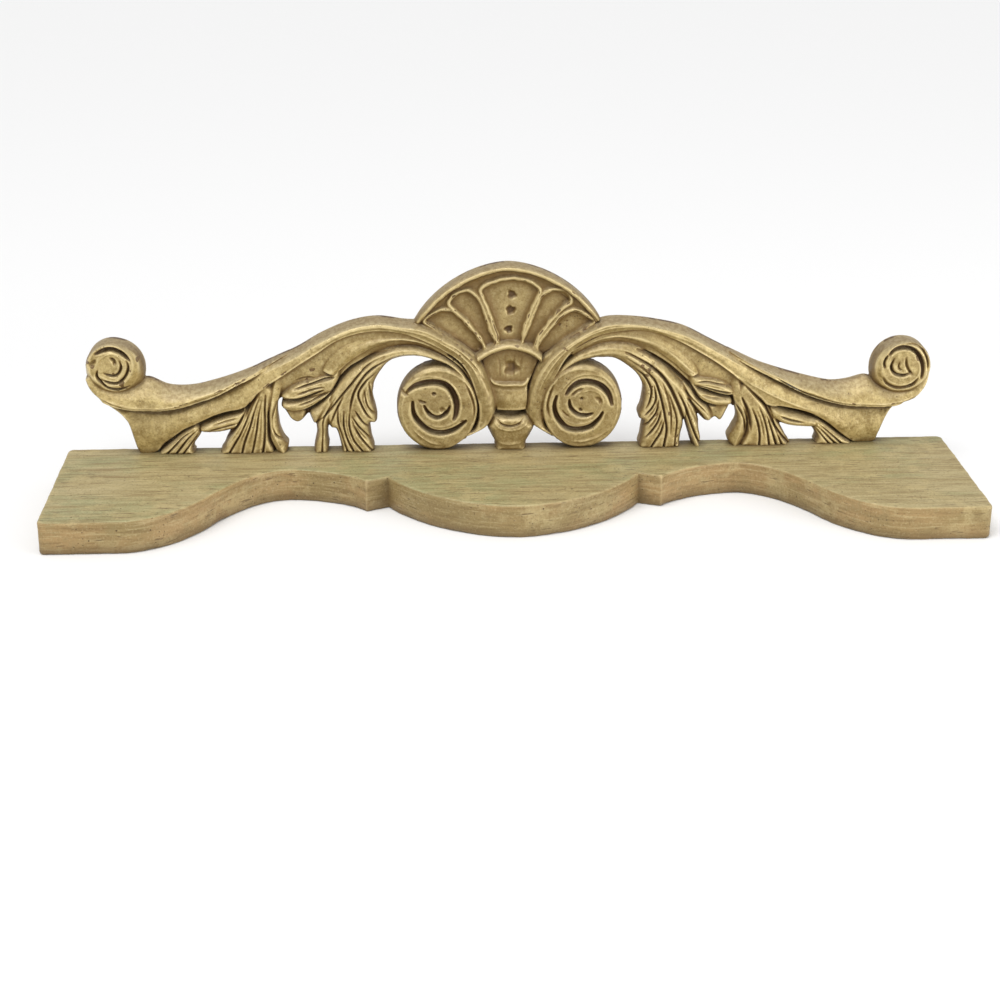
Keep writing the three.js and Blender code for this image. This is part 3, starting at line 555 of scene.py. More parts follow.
        [1.4, [(302, 63), (286, 69), (272, 75), (260, 82)]],
        [1.2, [(332, 53), (318, 57), (306, 61)]],
        [4.5, [(426, 96), (421, 103), (414, 109)]],
        [2.5, [(416, 94), (413, 99), (409, 104)]],
        [1.4, [(414, 66), (406, 60), (397, 56), (388, 53)]],
        [2.6, [(112, 66), (106, 62), (101, 64)]],
        [2.0, [(52, 30), (45, 33), (44, 39)]],
        [1.2, [(250, 68), (236, 79), (224, 87)]],
        [1.3, [(180, 126), (160, 133), (140, 137)]],
    ],
    "tips": [[16, [(229, 50), (226, 38), (222, 28), (215, 23.5), (209, 27), (206, 40), (206, 50)]]],
}

RIGHT = {
    "arm": [
        [404, 48, 402, 45], [393, 43.5, 389.5, 33], [384, 42, 380, 9], [372, 42, 375, 0],
        [357, 42, 355, 0], [340, 43.5, 342, 9], [320, 48.5, 325, 23], [300, 55.5, 303, 34],
        [280, 66, 280, 40], [263, 78, 263, 43], [248, 87, 249, 54], [230, 95.5, 232, 71],
        [205, 108.5, 212, 87], [176, 123.5, 190, 101], [148, 130.5, 165, 114.5],
        [122, 134, 136, 124], [98, 134, 107, 123], [80, 127.5, 84, 117], [60, 116, 66, 106],
        [44, 105, 56, 94], [31, 92, 48, 80], [23, 75, 40, 66], [19, 60, 36, 54],
        [16, 42, 34, 40], [20, 27, 36, 24], [31, 18, 43, 17], [43, 10, 56, 14],
    ],
    "roll": [
        [413, 76, 424, 72], [411, 68, 420.5, 61], [403, 62, 411, 51], [389, 61, 396, 44.5],
        [376, 64, 383, 42.5], [364, 69, 368, 42.5], [345, 64.5, 348, 43.5], [327, 63.5, 330, 47],
        [301, 69.5, 304, 55.5], [274, 77.5, 277, 69.5], [254, 84.5, 254, 81.5],
        [238, 92, 238.5, 90], [222, 100, 222.5, 99.4],
    ],
    "web": [
        [262, 50, 266, 40], [240, 68, 243, 45], [215, 86, 213, 60], [192, 100, 195, 50],
        [168, 114, 171, 62], [142, 124, 147, 84], [118, 124, 122, 98], [92, 120, 97, 102],
        [62, 104, 64, 92],
    ],
    "tongue": [
        [191, 77, 182, 74.5], [187, 86, 175, 80], [180, 94, 168, 87], [168, 105, 157, 95.5],
        [150, 115, 142, 106], [130, 120.5, 122, 113.5], [107, 121, 105, 116],
        [86, 116, 88, 112.5], [68, 106.5, 70, 103.5], [53, 95, 54.5, 92.8], [41, 79, 42.4, 77.6],
        [35, 60, 35.6, 59.4],
    ],
    "lower": [
        [41, 68, 40, 62], [46, 79, 46, 71], [56, 90, 55, 81], [68, 100, 66, 89],
        [82, 107, 80, 93.5], [97, 111, 95, 95], [110, 111, 106, 94], [124, 108.5, 118, 87],
        [138, 99.5, 129, 77], [152, 87, 136, 63], [166, 74, 139, 52], [180, 60, 142, 42],
    ],
    "hook": [
        [238, 78, 223, 76], [240, 64, 226, 58], [243, 46, 230, 42], [244, 30, 232.5, 29],
        [243, 14, 228, 16], [240, 1, 224, 8], [236, -4, 226, 0],
    ],
    "slot": [[318, 30, 316, 20], [295, 36, 295, 24], [268, 42, 268, 30]],
    "leaf_back": [[230, 60, 230, 40], [211, 62, 213, 20], [192, 64, 190, 42], [176, 62, 176, 36]],
    "bed": [
        [88, 104, 86, 80], [66, 102, 64, 72], [46, 92, 54, 64], [28, 66, 50, 54], [24, 46, 50, 45],
        [24, 28, 50, 30], [42, 16, 56, 20],
    ],
    "leaves": [
        [19, [(314, 29), (326, 21), (340, 10), (353, 2), (353, -3), (317, -3), (316, 8), (311, 18)]],
        [18.5, [(266, 42), (282, 36), (300, 31), (316, 26), (316, 17), (302, 16), (284, 18.5), (267, 28)]],
        [20, [(240, 70), (252, 56), (262, 44), (269, 34), (277, 21), (284, 8), (286, -3), (238, -3),
            (243, 16), (241, 34), (230, 56)]],
        [21, [(182, 78), (196, 74), (212, 71), (224, 64), (229, 58), (226, 53), (212, 54), (196, 60),
            (184, 66)]],
        [20, [(184, 67), (196, 60), (212, 54), (225, 51), (226, 43), (214, 41), (200, 44), (188, 54)]],
        [20, [(176, 68), (188, 58), (198, 46), (207, 33), (206, 26), (201, 25), (192, 34), (182, 46)]],
        [21, [(176, 66), (188, 44), (194, 24), (198, 8), (198, -3), (189, -3), (184, 10), (178, 30),
            (168, 60)]],
        [21, [(148, 92), (164, 78), (178, 62), (184, 42), (178, 24), (175, 8), (173, -3), (135, -3),
            (134.5, 12), (136, 26), (132, 30), (131, 36), (134, 44), (136, 60), (134, 72), (136, 82)]],
    ],
    "end_drum": [[0, 398.5, 77, 30, 32], [9, 399, 78.5, 30.5, 31], [19, 400, 82, 28, 27.5],
        [24.5, 401, 84.5, 24.5, 24.5]],
    "gouges": [
        [4.5, 3.0, [(392, 39), (372, 39.5), (350, 40), (332, 43), (316, 48), (300, 54.5), (288, 60)]],
        [2.2, 1.2, [(288, 60), (277, 67), (266, 73), (254, 80)]],
        [1.6, 1.2, [(80, 124), (64, 115), (50, 106), (40, 97), (33, 88), (26, 76)]],
        # centre scroll
        [4.1, 9, [(57, 58), (62, 65), (70, 70), (79, 71), (88, 68.5), (96, 63), (101, 55.5),
            (103.5, 46.5)]],
        [3.6, 9, [(47, 56), (45, 46), (47, 36), (52, 28), (58, 22.5), (66, 20.5), (75, 21), (83, 24),
            (90, 31), (94, 38)]],
        [2.7, 7, [(60, 52), (61, 45), (65, 39.5), (71, 36), (78, 35.5), (84, 37.5)]],
        [1.8, 3, [(62, 56), (67, 61), (74, 64)]],
        [1.6, 3, [(44, 68), (40, 57), (38, 46), (40, 34)]],
        [2.4, 2.5, [(86, 54), (91, 52), (92, 47)]],
        [2.2, 3, [(71, 54), (74, 53)]],
        [2.2, 3, [(70, 43), (73, 40)]],
        [1.4, 2, [(52, 42), (56, 37), (60, 34)]],
        # right end scroll
        [2.9, 7, [(384, 96), (389, 101.5), (397, 103.5), (405, 102), (412, 97), (417, 89), (419, 80),
            (418, 71)]],
        [1.6, 5, [(398, 107), (407, 107), (415, 103), (421, 95), (424, 85), (424, 73)]],
        [1.8, 5, [(380.5, 81), (379, 88), (382, 96)]],
        [2.0, 6, [(389, 92), (386.5, 84), (389, 77.5), (394, 74.5), (400, 74), (407, 76.5)]],
        [1.8, 4, [(401, 93), (402, 85), (405, 79), (409, 74)]],
        [2.4, 5, [(379, 72), (384, 65), (392, 61), (401, 61), (409, 64), (414, 70)]],
        [1.4, 3, [(395, 89), (394, 82), (398, 79)]],
        # slot above the small leaf
        [3.2, 9, [(273, 41), (284, 37.5), (296, 34.5), (308, 30.5), (318, 26)]],
        [1.3, 4, [(277, 30), (288, 26), (301, 23)]],
        [1.4, 5, [(273, 27), (280, 21), (290, 18), (302, 16.5), (313, 16.5)]],
    ],
    "fans": [
        [
            # small leaf by the end foot
            [1.5, 7, [(313, 28), (325, 20.5), (338, 10), (350, 2)]],
            [1.2, 4.5, [(316, 22), (328, 12), (338, 3)]],
            [1.2, 4.5, [(315, 19), (324, 11), (332, 3)]],
            [1.1, 4, [(314, 17), (320, 10), (326, 3)]],
        ],
        [
            # big outer leaf
            [1.8, 6, [(232, 72), (246, 58), (258, 46), (265, 33), (271, 21), (280, 8), (286, 1)]],
            [1.3, 4, [(268, 32), (272, 18), (277, 6)]],
            [1.4, 5, [(262, 34), (267, 20), (272, 5)]],
            [1.3, 4, [(254, 42), (260, 28), (264, 14), (266, 2)]],
            [1.4, 4.5, [(247, 40), (253, 26), (256, 12), (256, 1)]],
            [1.5, 5, [(236, 52), (243, 38), (246, 26), (247, 16)]],
            [1.4, 5, [(228, 47), (236, 36), (240, 24), (241, 14)]],
        ],
        [
            # leaf that points outwards
            [1.5, 4.5, [(189, 68.5), (200, 68.5), (212, 66), (221, 64)]],
            [1.5, 6, [(190, 64.5), (203, 61), (215, 58), (226, 56.5)]],
            [1.9, 8, [(191, 61.5), (203, 56.5), (214, 53.5), (226, 51.5)]],
            [1.3, 3.5, [(194, 55), (204, 52), (216, 50)]],
            [2.2, 6, [(186, 58), (193, 49), (201, 44), (210, 42)]],
        ],
        [
            # fan of the inner leaf
            [2.6, 6, [(128, 104), (142, 97), (158, 87), (172, 75), (184, 63), (192, 52)]],
            [2.2, 5.5, [(116, 102), (129, 95), (141, 87), (152, 78), (161, 66), (168, 52), (174, 38),
                (180, 20), (186, 6)]],
            [1.6, 5.5, [(171, 58), (178, 44), (183, 30), (189, 14), (194, 3)]],
            [1.4, 5, [(180, 52), (190, 40), (199, 29)]],
            [1.2, 3.5, [(176, 62), (184, 52), (194, 42), (202, 34)]],
            [1.5, 5, [(118, 95), (134, 84), (146, 72), (151, 60), (155, 46), (158, 32), (160, 18),
                (158, 4)]],
            [1.2, 3.5, [(160, 60), (166, 44), (170, 28), (169, 6)]],
            [1.2, 3, [(154, 70), (160, 54), (164, 36), (164, 14)]],
            [1.5, 5, [(126, 84), (136, 76), (143, 62), (142, 50), (138, 41)]],
            [1.3, 4.5, [(146, 66), (148, 52), (144, 42), (137, 34)]],
            [1.3, 4.5, [(151, 52), (149, 38), (142, 28), (137, 22)]],
            [1.3, 4.5, [(154, 40), (151, 28), (145, 18), (138, 10)]],
            [1.3, 4.5, [(157, 28), (154, 16), (148, 6)]],
        ],
    ],
    "beads": [
        [1.6, 1.2, [(48, 50), (51, 60), (57, 69), (65, 76), (75, 79), (86, 78.5), (96, 74), (104, 66)]],
        [1.6, 1.2, [(52, 36), (58, 30), (66, 26.5), (75, 27), (84, 30.5), (91, 37), (94, 45)]],
        [1.4, 1.0, [(70, 57), (77, 61.5), (86, 61), (93, 55), (95, 47)]],
        [1.6, 1.4, [(62, 8), (72, 7.5), (84, 10), (94, 15), (102, 22)]],
        [1.4, 1.1, [(377.5, 84), (380, 94), (385, 102), (392, 107), (399, 109), (408, 108)]],
        [1.4, 1.1, [(382.5, 80), (384, 90), (390, 98), (399, 100.5), (408, 98), (414, 91), (416, 82),
            (413, 72), (405, 65.5), (396, 64), (387, 67)]],
        [1.6, 1.2, [(410, 50), (398, 45.5), (386, 43), (366, 42.5), (346, 44), (330, 47), (316, 51)]],
        [2.0, 1.6, [(235, 72), (250, 64), (264, 56), (280, 48), (296, 41), (310, 36)]],
        [1.4, 1.0, [(228, 76), (214, 86), (198, 97), (182, 107), (168, 114)]],
        [1.6, 1.2, [(227, 54), (215, 56), (204, 58.8)]],
        [1.6, 1.0, [(190, 77), (180, 84), (168, 95), (158, 103)]],
        [1.5, 1.0, [(148, 72), (156, 56), (161, 40), (163, 24), (163, 8)]],
    ],
    "sawn": [
        [(314, 8), (311, 14), (304, 15), (290.5, 14.5), (289, 10), (289, 3), (292, 1), (304, 1.2),
            (314, 2)],
        [(225, 41), (222, 34), (216, 26), (210, 30), (206, 27), (200, 26), (194, 28), (193, 20),
            (195, 10), (197, -2), (224, -2), (223, 8), (226, 14), (232, 24), (232.5, 32), (229, 39)],
        [(176, 17), (180, 12), (182, 5), (184, -2), (174, -2), (174.5, 6)],
        [(102, 94.6), (94, 94.2), (86, 93), (79, 91.8), (75, 90.8), (80, 90), (88, 87.8), (95, 84),
            (102, 88)],
    ],
    "worn": [
        [1.4, [(290, 60), (268, 70), (250, 80)]],
        [1.6, [(262, 79), (240, 91), (218, 102)]],
        [1.3, [(200, 112), (178, 123), (160, 128)]],
        [3.0, [(424, 92), (420, 99), (413, 105)]],
        [2.2, [(410, 51), (400, 47), (390, 44)]],
        [2.4, [(112, 60), (114, 50), (112, 42)]],
        [1.2, [(96, 132), (80, 126), (64, 117)]],
        [1.3, [(360, 69), (350, 66), (338, 64)]],
    ],
    "tips": [[16, [(226, 50), (221, 32), (216, 22), (211, 19.5), (206, 24), (203, 36), (204, 50)]]],
}

ROLL_KEYS = [[0, [15, 18, 21, 20]], [3, [8, 17, 23, 25]], [9, [5, 15, 22, 24.5]],
             [11, [6, 13, 19, 22]], [13, [8, 10, 12, 13]]]
ARM_KEYS = [
    [0, [11, 14, 17, 17, 15]], [3, [11, 16, 19, 18, 14]], [6, [12, 16, 19, 21, 18]],
    [9, [9, 18.5, 22, 22.5, 22]], [13, [9, 21, 24.5, 24, 23.5]], [16, [15, 24, 25, 23.8, 21.5]],
    [20, [13, 22, 24, 22, 20]], [27, [10, 14, 17, 16, 13]],
]
TONGUE_KEYS = [[0, [19, 22.5, 23.5, 19]], [6, [18, 21, 21.5, 17]], [9, [15, 17, 17, 15]]]
LOWER_KEYS = [[0, [15, 18, 18, 13]], [4, [17, 23, 23, 15]], [8, [18, 22.5, 22.5, 17]],
              [11, [16, 20.5, 20.5, 14]]]

# bands below and above the leaves, with their heights and their tone, in the order they are laid
UNDER_BANDS = [
    # the bed, slot and leaf back lie deepest; their high tone is painted shade on the recessed ground
    ["bed", [[0, [11, 11, 10]], [6, [10, 10, 9]]], 0.7],
    ["slot", [[0, [7, 7, 7]], [2, [7, 7, 7]]], 0.8],
    ["leaf_back", [[0, [9, 9, 9]], [3, [9, 9, 9]]], 0.7],
    ["web", [[0, [16, 15, 14, 12]], [2, [17, 17, 15, 12]], [5, [20, 18.5, 14, 10]],
             [8, [20, 18, 14, 10]]], 0.16],
]
OVER_BANDS = [
    ["hook", [[0, [12, 17, 15]], [1, [13, 20, 17]], [4, [15, 23, 17]], [6, [14, 21, 15]]], 0.2],
    ["roll", ROLL_KEYS, 0],
    ["arm", ARM_KEYS, 0],
    ["tongue", TONGUE_KEYS, 0.12],
    ["lower", LOWER_KEYS, 0.12],
]

# lines along a band: place across it, width, depth, first rung and the rung it stops before
BAND_LINES = [
    ["roll", 0.97, 1.2, -0.9, 0, 12],
    ["arm", 0.95, 1.2, -0.9, 9, -4],
    ["arm", 0.82, 2.2, 1.1, 9, -4],
    ["arm", 0.33, 1.1, -0.9, 8, -4],
    ["arm", 0.42, 1.8, 0.7, 12, -4],
    ["arm", 0.16, 1.4, 0.9, 12, -4],
    ["arm", 0.55, 1.1, -0.8, 14, -4],
    ["arm", 0.65, 1.6, 0.9, 14, -4],
    ["arm", 0.04, 1.1, -0.7, 14, -2],
    ["tongue", 0.10, 1.0, -0.8, 0, None],
    ["tongue", 0.34, 1.6, 0.7, 0, None],
    ["lower", 0.12, 1.2, -0.8, 0, None],
    ["lower", 0.45, 1.8, 0.8, 0, None],
    ["lower", 0.72, 1.2, 0.7, 0, None],
    ["hook", 0.5, 1.0, -0.8, 0, None],
]


def half(side, drawn):
    """One half of the crest, laid from the back to the front and then lined and sawn."""
    for band, keys, tone in UNDER_BANDS:
        ribbon(side, drawn[band], keys, tone)
    for top, points in drawn["tips"]:
        patch(side, points, top - 2, 5, 4, 1.5, 0.35)
    for top, points in drawn["leaves"]:
        patch(side, points, top, 7, 6, 1.5, 0.34)
    for band, keys, tone in OVER_BANDS:
        ribbon(side, drawn[band], keys, tone)
    for band, across, width, depth, first, last in BAND_LINES:
        along_band(side, drawn[band], across, width, depth, first, last)
    drum(side, CENTRE_DRUM, 0.16)
    drum(side, drawn["end_drum"], 0.02)
    for oval, rise in ((drawn["end_drum"][-1], -1.0), (CENTRE_DRUM[-1], -0.6)):
        middle_d, middle_z, wide, tall = oval[1:]
        stroke(side, [(middle_d + 0.97 * wide * math.cos(a), middle_z + 0.97 * tall * math.sin(a))
                      for a in np.linspace(-1.9, 3.6, 16)], 1.5, rise, 0.1, 0.1)
    strokes(side, drawn["gouges"])
    for fan in drawn["fans"]:
        strokes(side, fan)
        for first, second in zip(fan[:-1], fan[1:]):
            between(side, first, second)
    strokes(side, [[width, -rise, points] for width, rise, points in drawn["beads"]])
    for points in drawn["sawn"]:
        cut(side, points)


# Shell

SHELL_CENTRE = (-2.0, 105.0)
SHELL_HALF = (102.0, 87.0)
SHELL_POWER = 1.75
SHELL_LEAN = 73.0
FLUTES = [
    [(-9, 111), (-13, 122), (-17, 134), (-21, 146), (-26, 158), (-28, 166), (-22, 171), (-12, 175),
     (0, 177), (12, 176), (22, 172), (28, 166), (26, 158), (21, 146), (16, 134), (13, 122),
     (10, 111)],
    [(-15, 111), (-20, 124), (-24, 137), (-29, 151), (-34, 160), (-42, 165), (-50, 164),
     (-57, 159), (-60, 153), (-54, 146), (-46, 138), (-37, 127), (-29, 116), (-23, 107)],
    [(-27, 106), (-34, 119), (-43, 131), (-52, 140), (-61, 145.5), (-70, 145), (-78, 141),
     (-84, 135), (-72, 126), (-56, 114), (-42, 102), (-34, 96)],
    [(14, 111), (18, 124), (23, 137), (28, 150), (33, 160), (41, 165), (50, 165), (58, 160),
     (60, 154), (52, 148), (45, 140), (36, 128), (29, 118), (23, 107)],
    [(28, 106), (37, 120), (46, 132), (54, 140), (62, 143.5), (70, 142), (78, 138), (84, 132),
     (72, 124), (56, 113), (42, 102), (34, 96)],
]


def shell():
    """The rim is a superellipse; inside it the flutes are hollows with raised lips."""
    cx, cz = SHELL_CENTRE
    rim = []
    for degrees in np.linspace(-SHELL_LEAN, SHELL_LEAN, 90):
        s, c = math.sin(math.radians(degrees)), math.cos(math.radians(degrees))
        spread = (abs(s) / SHELL_HALF[0]) ** SHELL_POWER + (c / SHELL_HALF[1]) ** SHELL_POWER
        reach = spread ** (-1 / SHELL_POWER)
        rim.append((cx + s * reach, cz + c * reach))
    outline = np.array(rim + [(30, 96), (-34, 96)])
    area = around(outline, REACH)
    sdf = signed(outline, area, 20.0)
    x, z = places(area)
    ragged = 0.35 * noise(5, (z.shape[0], x.shape[1]))
    edge = to_line(np.array(rim), area, 20.0)[0]
    flute = np.full(edge.shape, -12.0, np.float32)
    for points in FLUTES:
        flute = np.maximum(flute, signed(closed(points), area, 12.0))
    flute = flute + ragged

    # relief and tone by the distance inside a flute, and the bead by the distance from the rim
    dish = np.interp(flute, [-5.5, -3.6, -2.4, -0.8, 0.3, 1.8, 3.4, 8, 12],
                     [14.2, 15.6, 17.4, 17.8, 16.4, 13.0, 11.8, 11.0, 10.8])
    dish = dish - 2.5 * np.clip((150 - z) / 45, 0, 1)
    away = edge + 0.5 * ragged
    bead = np.interp(away, [0, 1.2, 3, 4.9, 5.8, 7.5, 11, 12],
                     [19, 22, 22.7, 21.2, 17.2, 15.6, 14, 0])
    bead = bead - 7 * np.clip((146 - z) / 14, 0, 1) * (away < 11)
    dish = np.maximum(dish, bead)
    lay(np.clip(sdf, AIR, REACH), dish.astype(np.float32), area, 0.0)
    # the flute floors and the cove under the bead are darkened: dark glaze and painted shade
    floor_tone = np.interp(flute, [-5, -3.6, -2.6, -0.2, 1.0, 2.6, 7.0, 11.0],
                           [0.42, 0.5, 0, 0, 0.72, 0.42, 0.24, 0.12])
    under_bead = 0.75 * np.exp(-((edge - 6.2) / 1.0) ** 2)
    tone = np.maximum(np.where(edge < 5.4, 0, floor_tone), under_bead)
    stain_and_shade[area] = np.where(sdf > 0, tone, stain_and_shade[area])
    chipped = 1.15 * np.exp(-((edge - 5.6) / 1.0) ** 2)
    chipped = chipped + 0.85 * np.exp(-((flute + 0.4) / 0.9) ** 2) * (edge > 7)
    bare[area] = np.maximum(bare[area], np.where(sdf > 0, chipped, 0))
    for x0, z0, radius in [(2, 160, 5), (1, 144, 5.5), (-1, 124, 4.5)]:
        dimple(x0, z0, radius, 3.0)


def dimple(x0, z0, radius, depth):
    """A shallow gouged pit with an uneven edge."""
    area = window(x0 - radius, x0 + radius, z0 - radius, z0 + radius, 2)
    x, z = places(area)
    x, z = x - x0, z - z0
    angle = np.arctan2(z, x)
    edge = radius * (1 + 0.14 * np.sin(3 * angle + x0) + 0.08 * np.sin(5 * angle + z0))
    share = np.clip(1.25 - 1.25 * (np.hypot(x, z) / edge) ** 2, 0, 1)
    height[area] -= depth * share
    # the pit is darkened by its depth: painted shade
    stain_and_shade[area] = np.maximum(stain_and_shade[area], share)


# Middle: collar, cup, ledge, block and pendant

def middle():
    """The filling behind, then the cup, collar and block, the ledge, the pendant and their lines."""
    # the filling behind and the cup lie deep; their dark tone is painted shade
    ribbon(1, [[-90, 131, 90, 131], [-48, 108, 48, 108], [-32, 90, 34, 90], [-26, 62, 26, 62],
               [-24, 45, 24, 45], [-24, 24, 24, 23]], [[0, [8, 8, 8]], [5, [8, 8, 8]]], 0.8)
    ribbon(1, [[-33, 104, 33, 104], [-26, 86, 26, 84], [-18, 66, 18, 66]],
           [[0, [10, 11, 12, 11, 10]], [1, [12, 12.5, 12, 12.5, 12]], [2, [15, 14, 13, 14, 15]]],
           0.4)
    ribbon(1, [[-34, 99, -33, 90], [-21, 107, -18, 99.5], [0, 112.5, 0, 104], [22, 107, 19, 99],
               [33, 98, 32, 90]], [[0, [15, 19.5, 19.5, 15]], [4, [15, 19.5, 19.5, 15]]])
    ribbon(1, [[-18, 69, 18, 68.5], [-16, 52, 18, 52], [-13, 40, 16.5, 40]],
           [[0, [14, 15.5, 15.5, 15.5, 14]], [1, [16, 19, 19.5, 19, 16]],
            [2, [15, 17.5, 18, 17.5, 15]]], 0.1)
    stroke(1, [(-19, 72.5), (-16, 69.4), (-10, 68.2), (-3, 67.6), (5, 68), (12, 67.4), (16, 69),
               (18.5, 72.5)], 2.4, -3.2, 0.6, 0.6)
    stroke(1, [(-17, 64.5), (-9, 63.4), (1, 63), (10, 63.2), (17, 64.4)], 2.2, 1.0)
    patch(1, [(-17, 34), (-11, 36), (0, 37), (12, 36), (17, 34), (25, 25), (21.5, 15), (16.5, 6),
              (14.5, -4), (-13, -4), (-15, 6), (-19.5, 15), (-23, 25)], 20.5, 8, 7, 1.5)
    stroke(1, [(-15, 37.5), (-8, 36.5), (0, 35.5), (9, 36.5), (17, 37.5)], 3.4, 9, 0.7, 0.7)
    stroke(1, [(-14, 34), (-9, 27.5), (0, 25), (9, 27.5), (15, 34)], 1.6, 3.4)
    stroke(1, [(-17, 31), (-11, 23.5), (0, 20.5), (12, 23.5), (19, 31)], 1.8, -1.2)
    stroke(1, [(-12, 8), (0, 5.5), (13, 8)], 1.8, -1.0)
    for x0, lean in ((-12, 2), (-5, 1), (5, -1), (13, -2)):
        stroke(1, [(x0, 98), (x0 + lean, 86), (x0 + lean, 74)], 1.6, 0.8)
    dimple(2, 84, 8, 3.0)


middle()
shell()
half(-1, LEFT)
half(1, RIGHT)

# the carving ends at the board, but its foot isn't rounded over there
sawn_edge = inside
inside = np.minimum(inside, np.broadcast_to(grid_z[:, None], inside.shape)).astype(np.float32)


# Surface: soft tool marks, rounded arrises and small losses

def rub(side, width, points):
    """Marks where the gilding is rubbed away or chipped along a line."""
    line = smooth(points) * [side, 1]
    area = around(line, 2 * width)
    near = to_line(line, area, 2 * width)[0]
    bare[area] = np.maximum(bare[area], np.exp(-(near / width) ** 2))


for side, drawn in ((-1, LEFT), (1, RIGHT)):
    for width, points in drawn["worn"]:
        rub(side, width, points)

solid = np.clip(0.5 + inside / CELL, 0, 1).astype(np.float32)


def softened(field, radius):
    """Blurs a field within the carving; radius in millimetres."""
    cells = radius / CELL
    return blurred(field * solid, cells) / np.maximum(blurred(solid, cells), 1e-3)


height = softened(height, 0.42)
height += 0.20 * noise(4.0 / CELL) + 0.11 * noise(1.5 / CELL) + 0.25 * noise(18 / CELL)
round_over = np.clip(1 - sawn_edge / ROUND_WIDTH, 0, 1)
height -= ROUND_DEPTH * round_over ** 2

# the gilding flakes first where it is rubbed, and on ridges
ridge = np.clip((height - softened(height, 1.3)) / 0.6, 0, 1)
chance = noise(1.6 / CELL) + 0.8 * noise(6 / CELL)
flaked = np.clip((chance + 2.6 * bare + 0.9 * ridge - 3.6) / 0.45, 0, 1)
height -= FLAKE_DEPTH * flaked
height = np.clip(height, 2.0, PLANK - 0.15).astype(np.float32)

# fields for the material: wide hollows, narrow creases, and the dark tone that is partly stain and partly
# painted shade
hollow = np.clip((softened(height, 4.2) - height) / 4.0, -1, 1)
crease = np.clip((softened(height, 1.5) - height) / 1.3, -1, 1)
stain_and_shade = np.clip(softened(stain_and_shade, 0.5), 0, 1)


# Mesh of the crest

def sample(field, x, z):
    """A sheet's values at places in millimetres."""
    col = np.clip((x - LEFT_END) / CELL, 0, NX - 1.001)
    row = np.clip((z - LOW_END) / CELL, 0, NZ - 1.001)
    return between_cells(field, row, col)


def corners_of(field):
    """Views of a field at each cell's low left, high left, low right and high right corner."""
    return field[:-1, :-1], field[1:, :-1], field[:-1, 1:], field[1:, 1:]


def largest(mask):
    """The largest connected piece of a mask."""
    label = np.where(mask, np.arange(mask.size).reshape(mask.shape) + 1, 0)
    while True:
        before = label.copy()
        for axis in (0, 1):
            for flip in (False, True):
                lines, here = [np.flip(field, axis) if flip else field for field in (label, mask)]
                if axis == 0:
                    lines, here = lines.T, here.T
                for j in range(1, lines.shape[1]):
                    both = here[:, j] & here[:, j - 1]
                    highest = np.maximum(lines[:, j], lines[:, j - 1])
                    lines[:, j] = np.where(both, highest, lines[:, j])
        if (label == before).all():
            break
    values, counts = np.unique(label[label > 0], return_counts=True)
    return label == values[counts.argmax()]


def crest_cells():
    """The cells that the carving fills, in one piece."""
    cells = np.logical_or.reduce(corners_of(inside > 0)) & (sum(corners_of(inside)) / 4 > -0.2)
    cells = largest(cells)
    # cells that touch only at a corner are joined, so that the walls stay closed
    while True:
        low_left, high_left, low_right, high_right = corners_of(cells)
        first = low_left & high_right & ~high_left & ~low_right
        second = high_left & low_right & ~low_left & ~high_right
        if not (first.any() or second.any()):
            return cells
        high_left |= first
        high_right |= second


def crest_mesh():
    cells = crest_cells()
    around = np.zeros((NZ, NX), int)
    for view in corners_of(around):
        view += cells
    used = around > 0
    count = int(used.sum())
    number = np.full((NZ, NX), -1)
    number[used] = np.arange(count)
    iz, ix = np.nonzero(used)
    x, z = grid_x[ix].astype(float), grid_z[iz].astype(float)

    # points on the border move onto the outline
    border = around[used] < 4
    slope_z, slope_x = np.gradient(blurred(inside, 0.7), CELL)
    for _ in range(3):
        gx, gz = sample(slope_x, x, z), sample(slope_z, x, z)
        size = np.maximum(gx * gx + gz * gz, 0.25)
        move = np.clip(sample(inside, x, z), -1.2, 1.2) * border
        x, z = x - move * gx / size, z - move * gz / size

    # the outline is evened out along itself
    low_left, high_left, low_right, high_right = [view[cells] for view in corners_of(number)]
    ring = [low_left, low_right, high_right, high_left]
    pairs = np.concatenate([np.stack([ring[i], ring[(i + 1) % 4]], 1) for i in range(4)])
    key = np.sort(pairs, axis=1)
    which, shared = np.unique(key[:, 0].astype(np.int64) * count + key[:, 1],
                              return_inverse=True, return_counts=True)[1:]
    rim = pairs[shared[which] == 1]
    ends, others = np.concatenate([rim, rim[:, ::-1]]).T
    near = np.bincount(ends, minlength=count)
    on_rim = near > 0
    for _ in range(6):
        for line in (x, z):
            between_both = np.bincount(ends, line[others], count)[on_rim] / near[on_rim]
            line[on_rim] += 0.5 * (between_both - line[on_rim])
    z = np.maximum(z, 0)

    # four layers of points: the front, two down the wall and the back
    front = sample(height, x, z)
    rim_count = int(on_rim.sum())
    rim_number = np.full(count, -1)
    rim_number[on_rim] = np.arange(rim_count)
    everywhere = np.arange(count)
    layers = [np.stack([x, front, z], 1)]
    for level in (0.66, 0.33):
        relief = np.maximum(front[on_rim] * level, LOWEST_WALL)
        layers.append(np.stack([x[on_rim], relief, z[on_rim]], 1))
    layers.append(np.stack([x, np.zeros(count), z], 1))
    numbers = [everywhere, count + rim_number, count + rim_count + rim_number,
               count + 2 * rim_count + everywhere]
    quads = [np.stack(ring, 1), np.stack(ring[::-1], 1) + numbers[3][0]]
    a, b = rim.T
    for upper, lower in zip(numbers[:-1], numbers[1:]):
        quads.append(np.stack([upper[b], upper[a], lower[a], lower[b]], 1))
    sheet = np.concatenate(layers)
    points = np.stack([sheet[:, 0], BACK - sheet[:, 1], SEAT + sheet[:, 2]], 1) * MM
    return points.astype(np.float32), np.concatenate(quads).astype(np.int32)


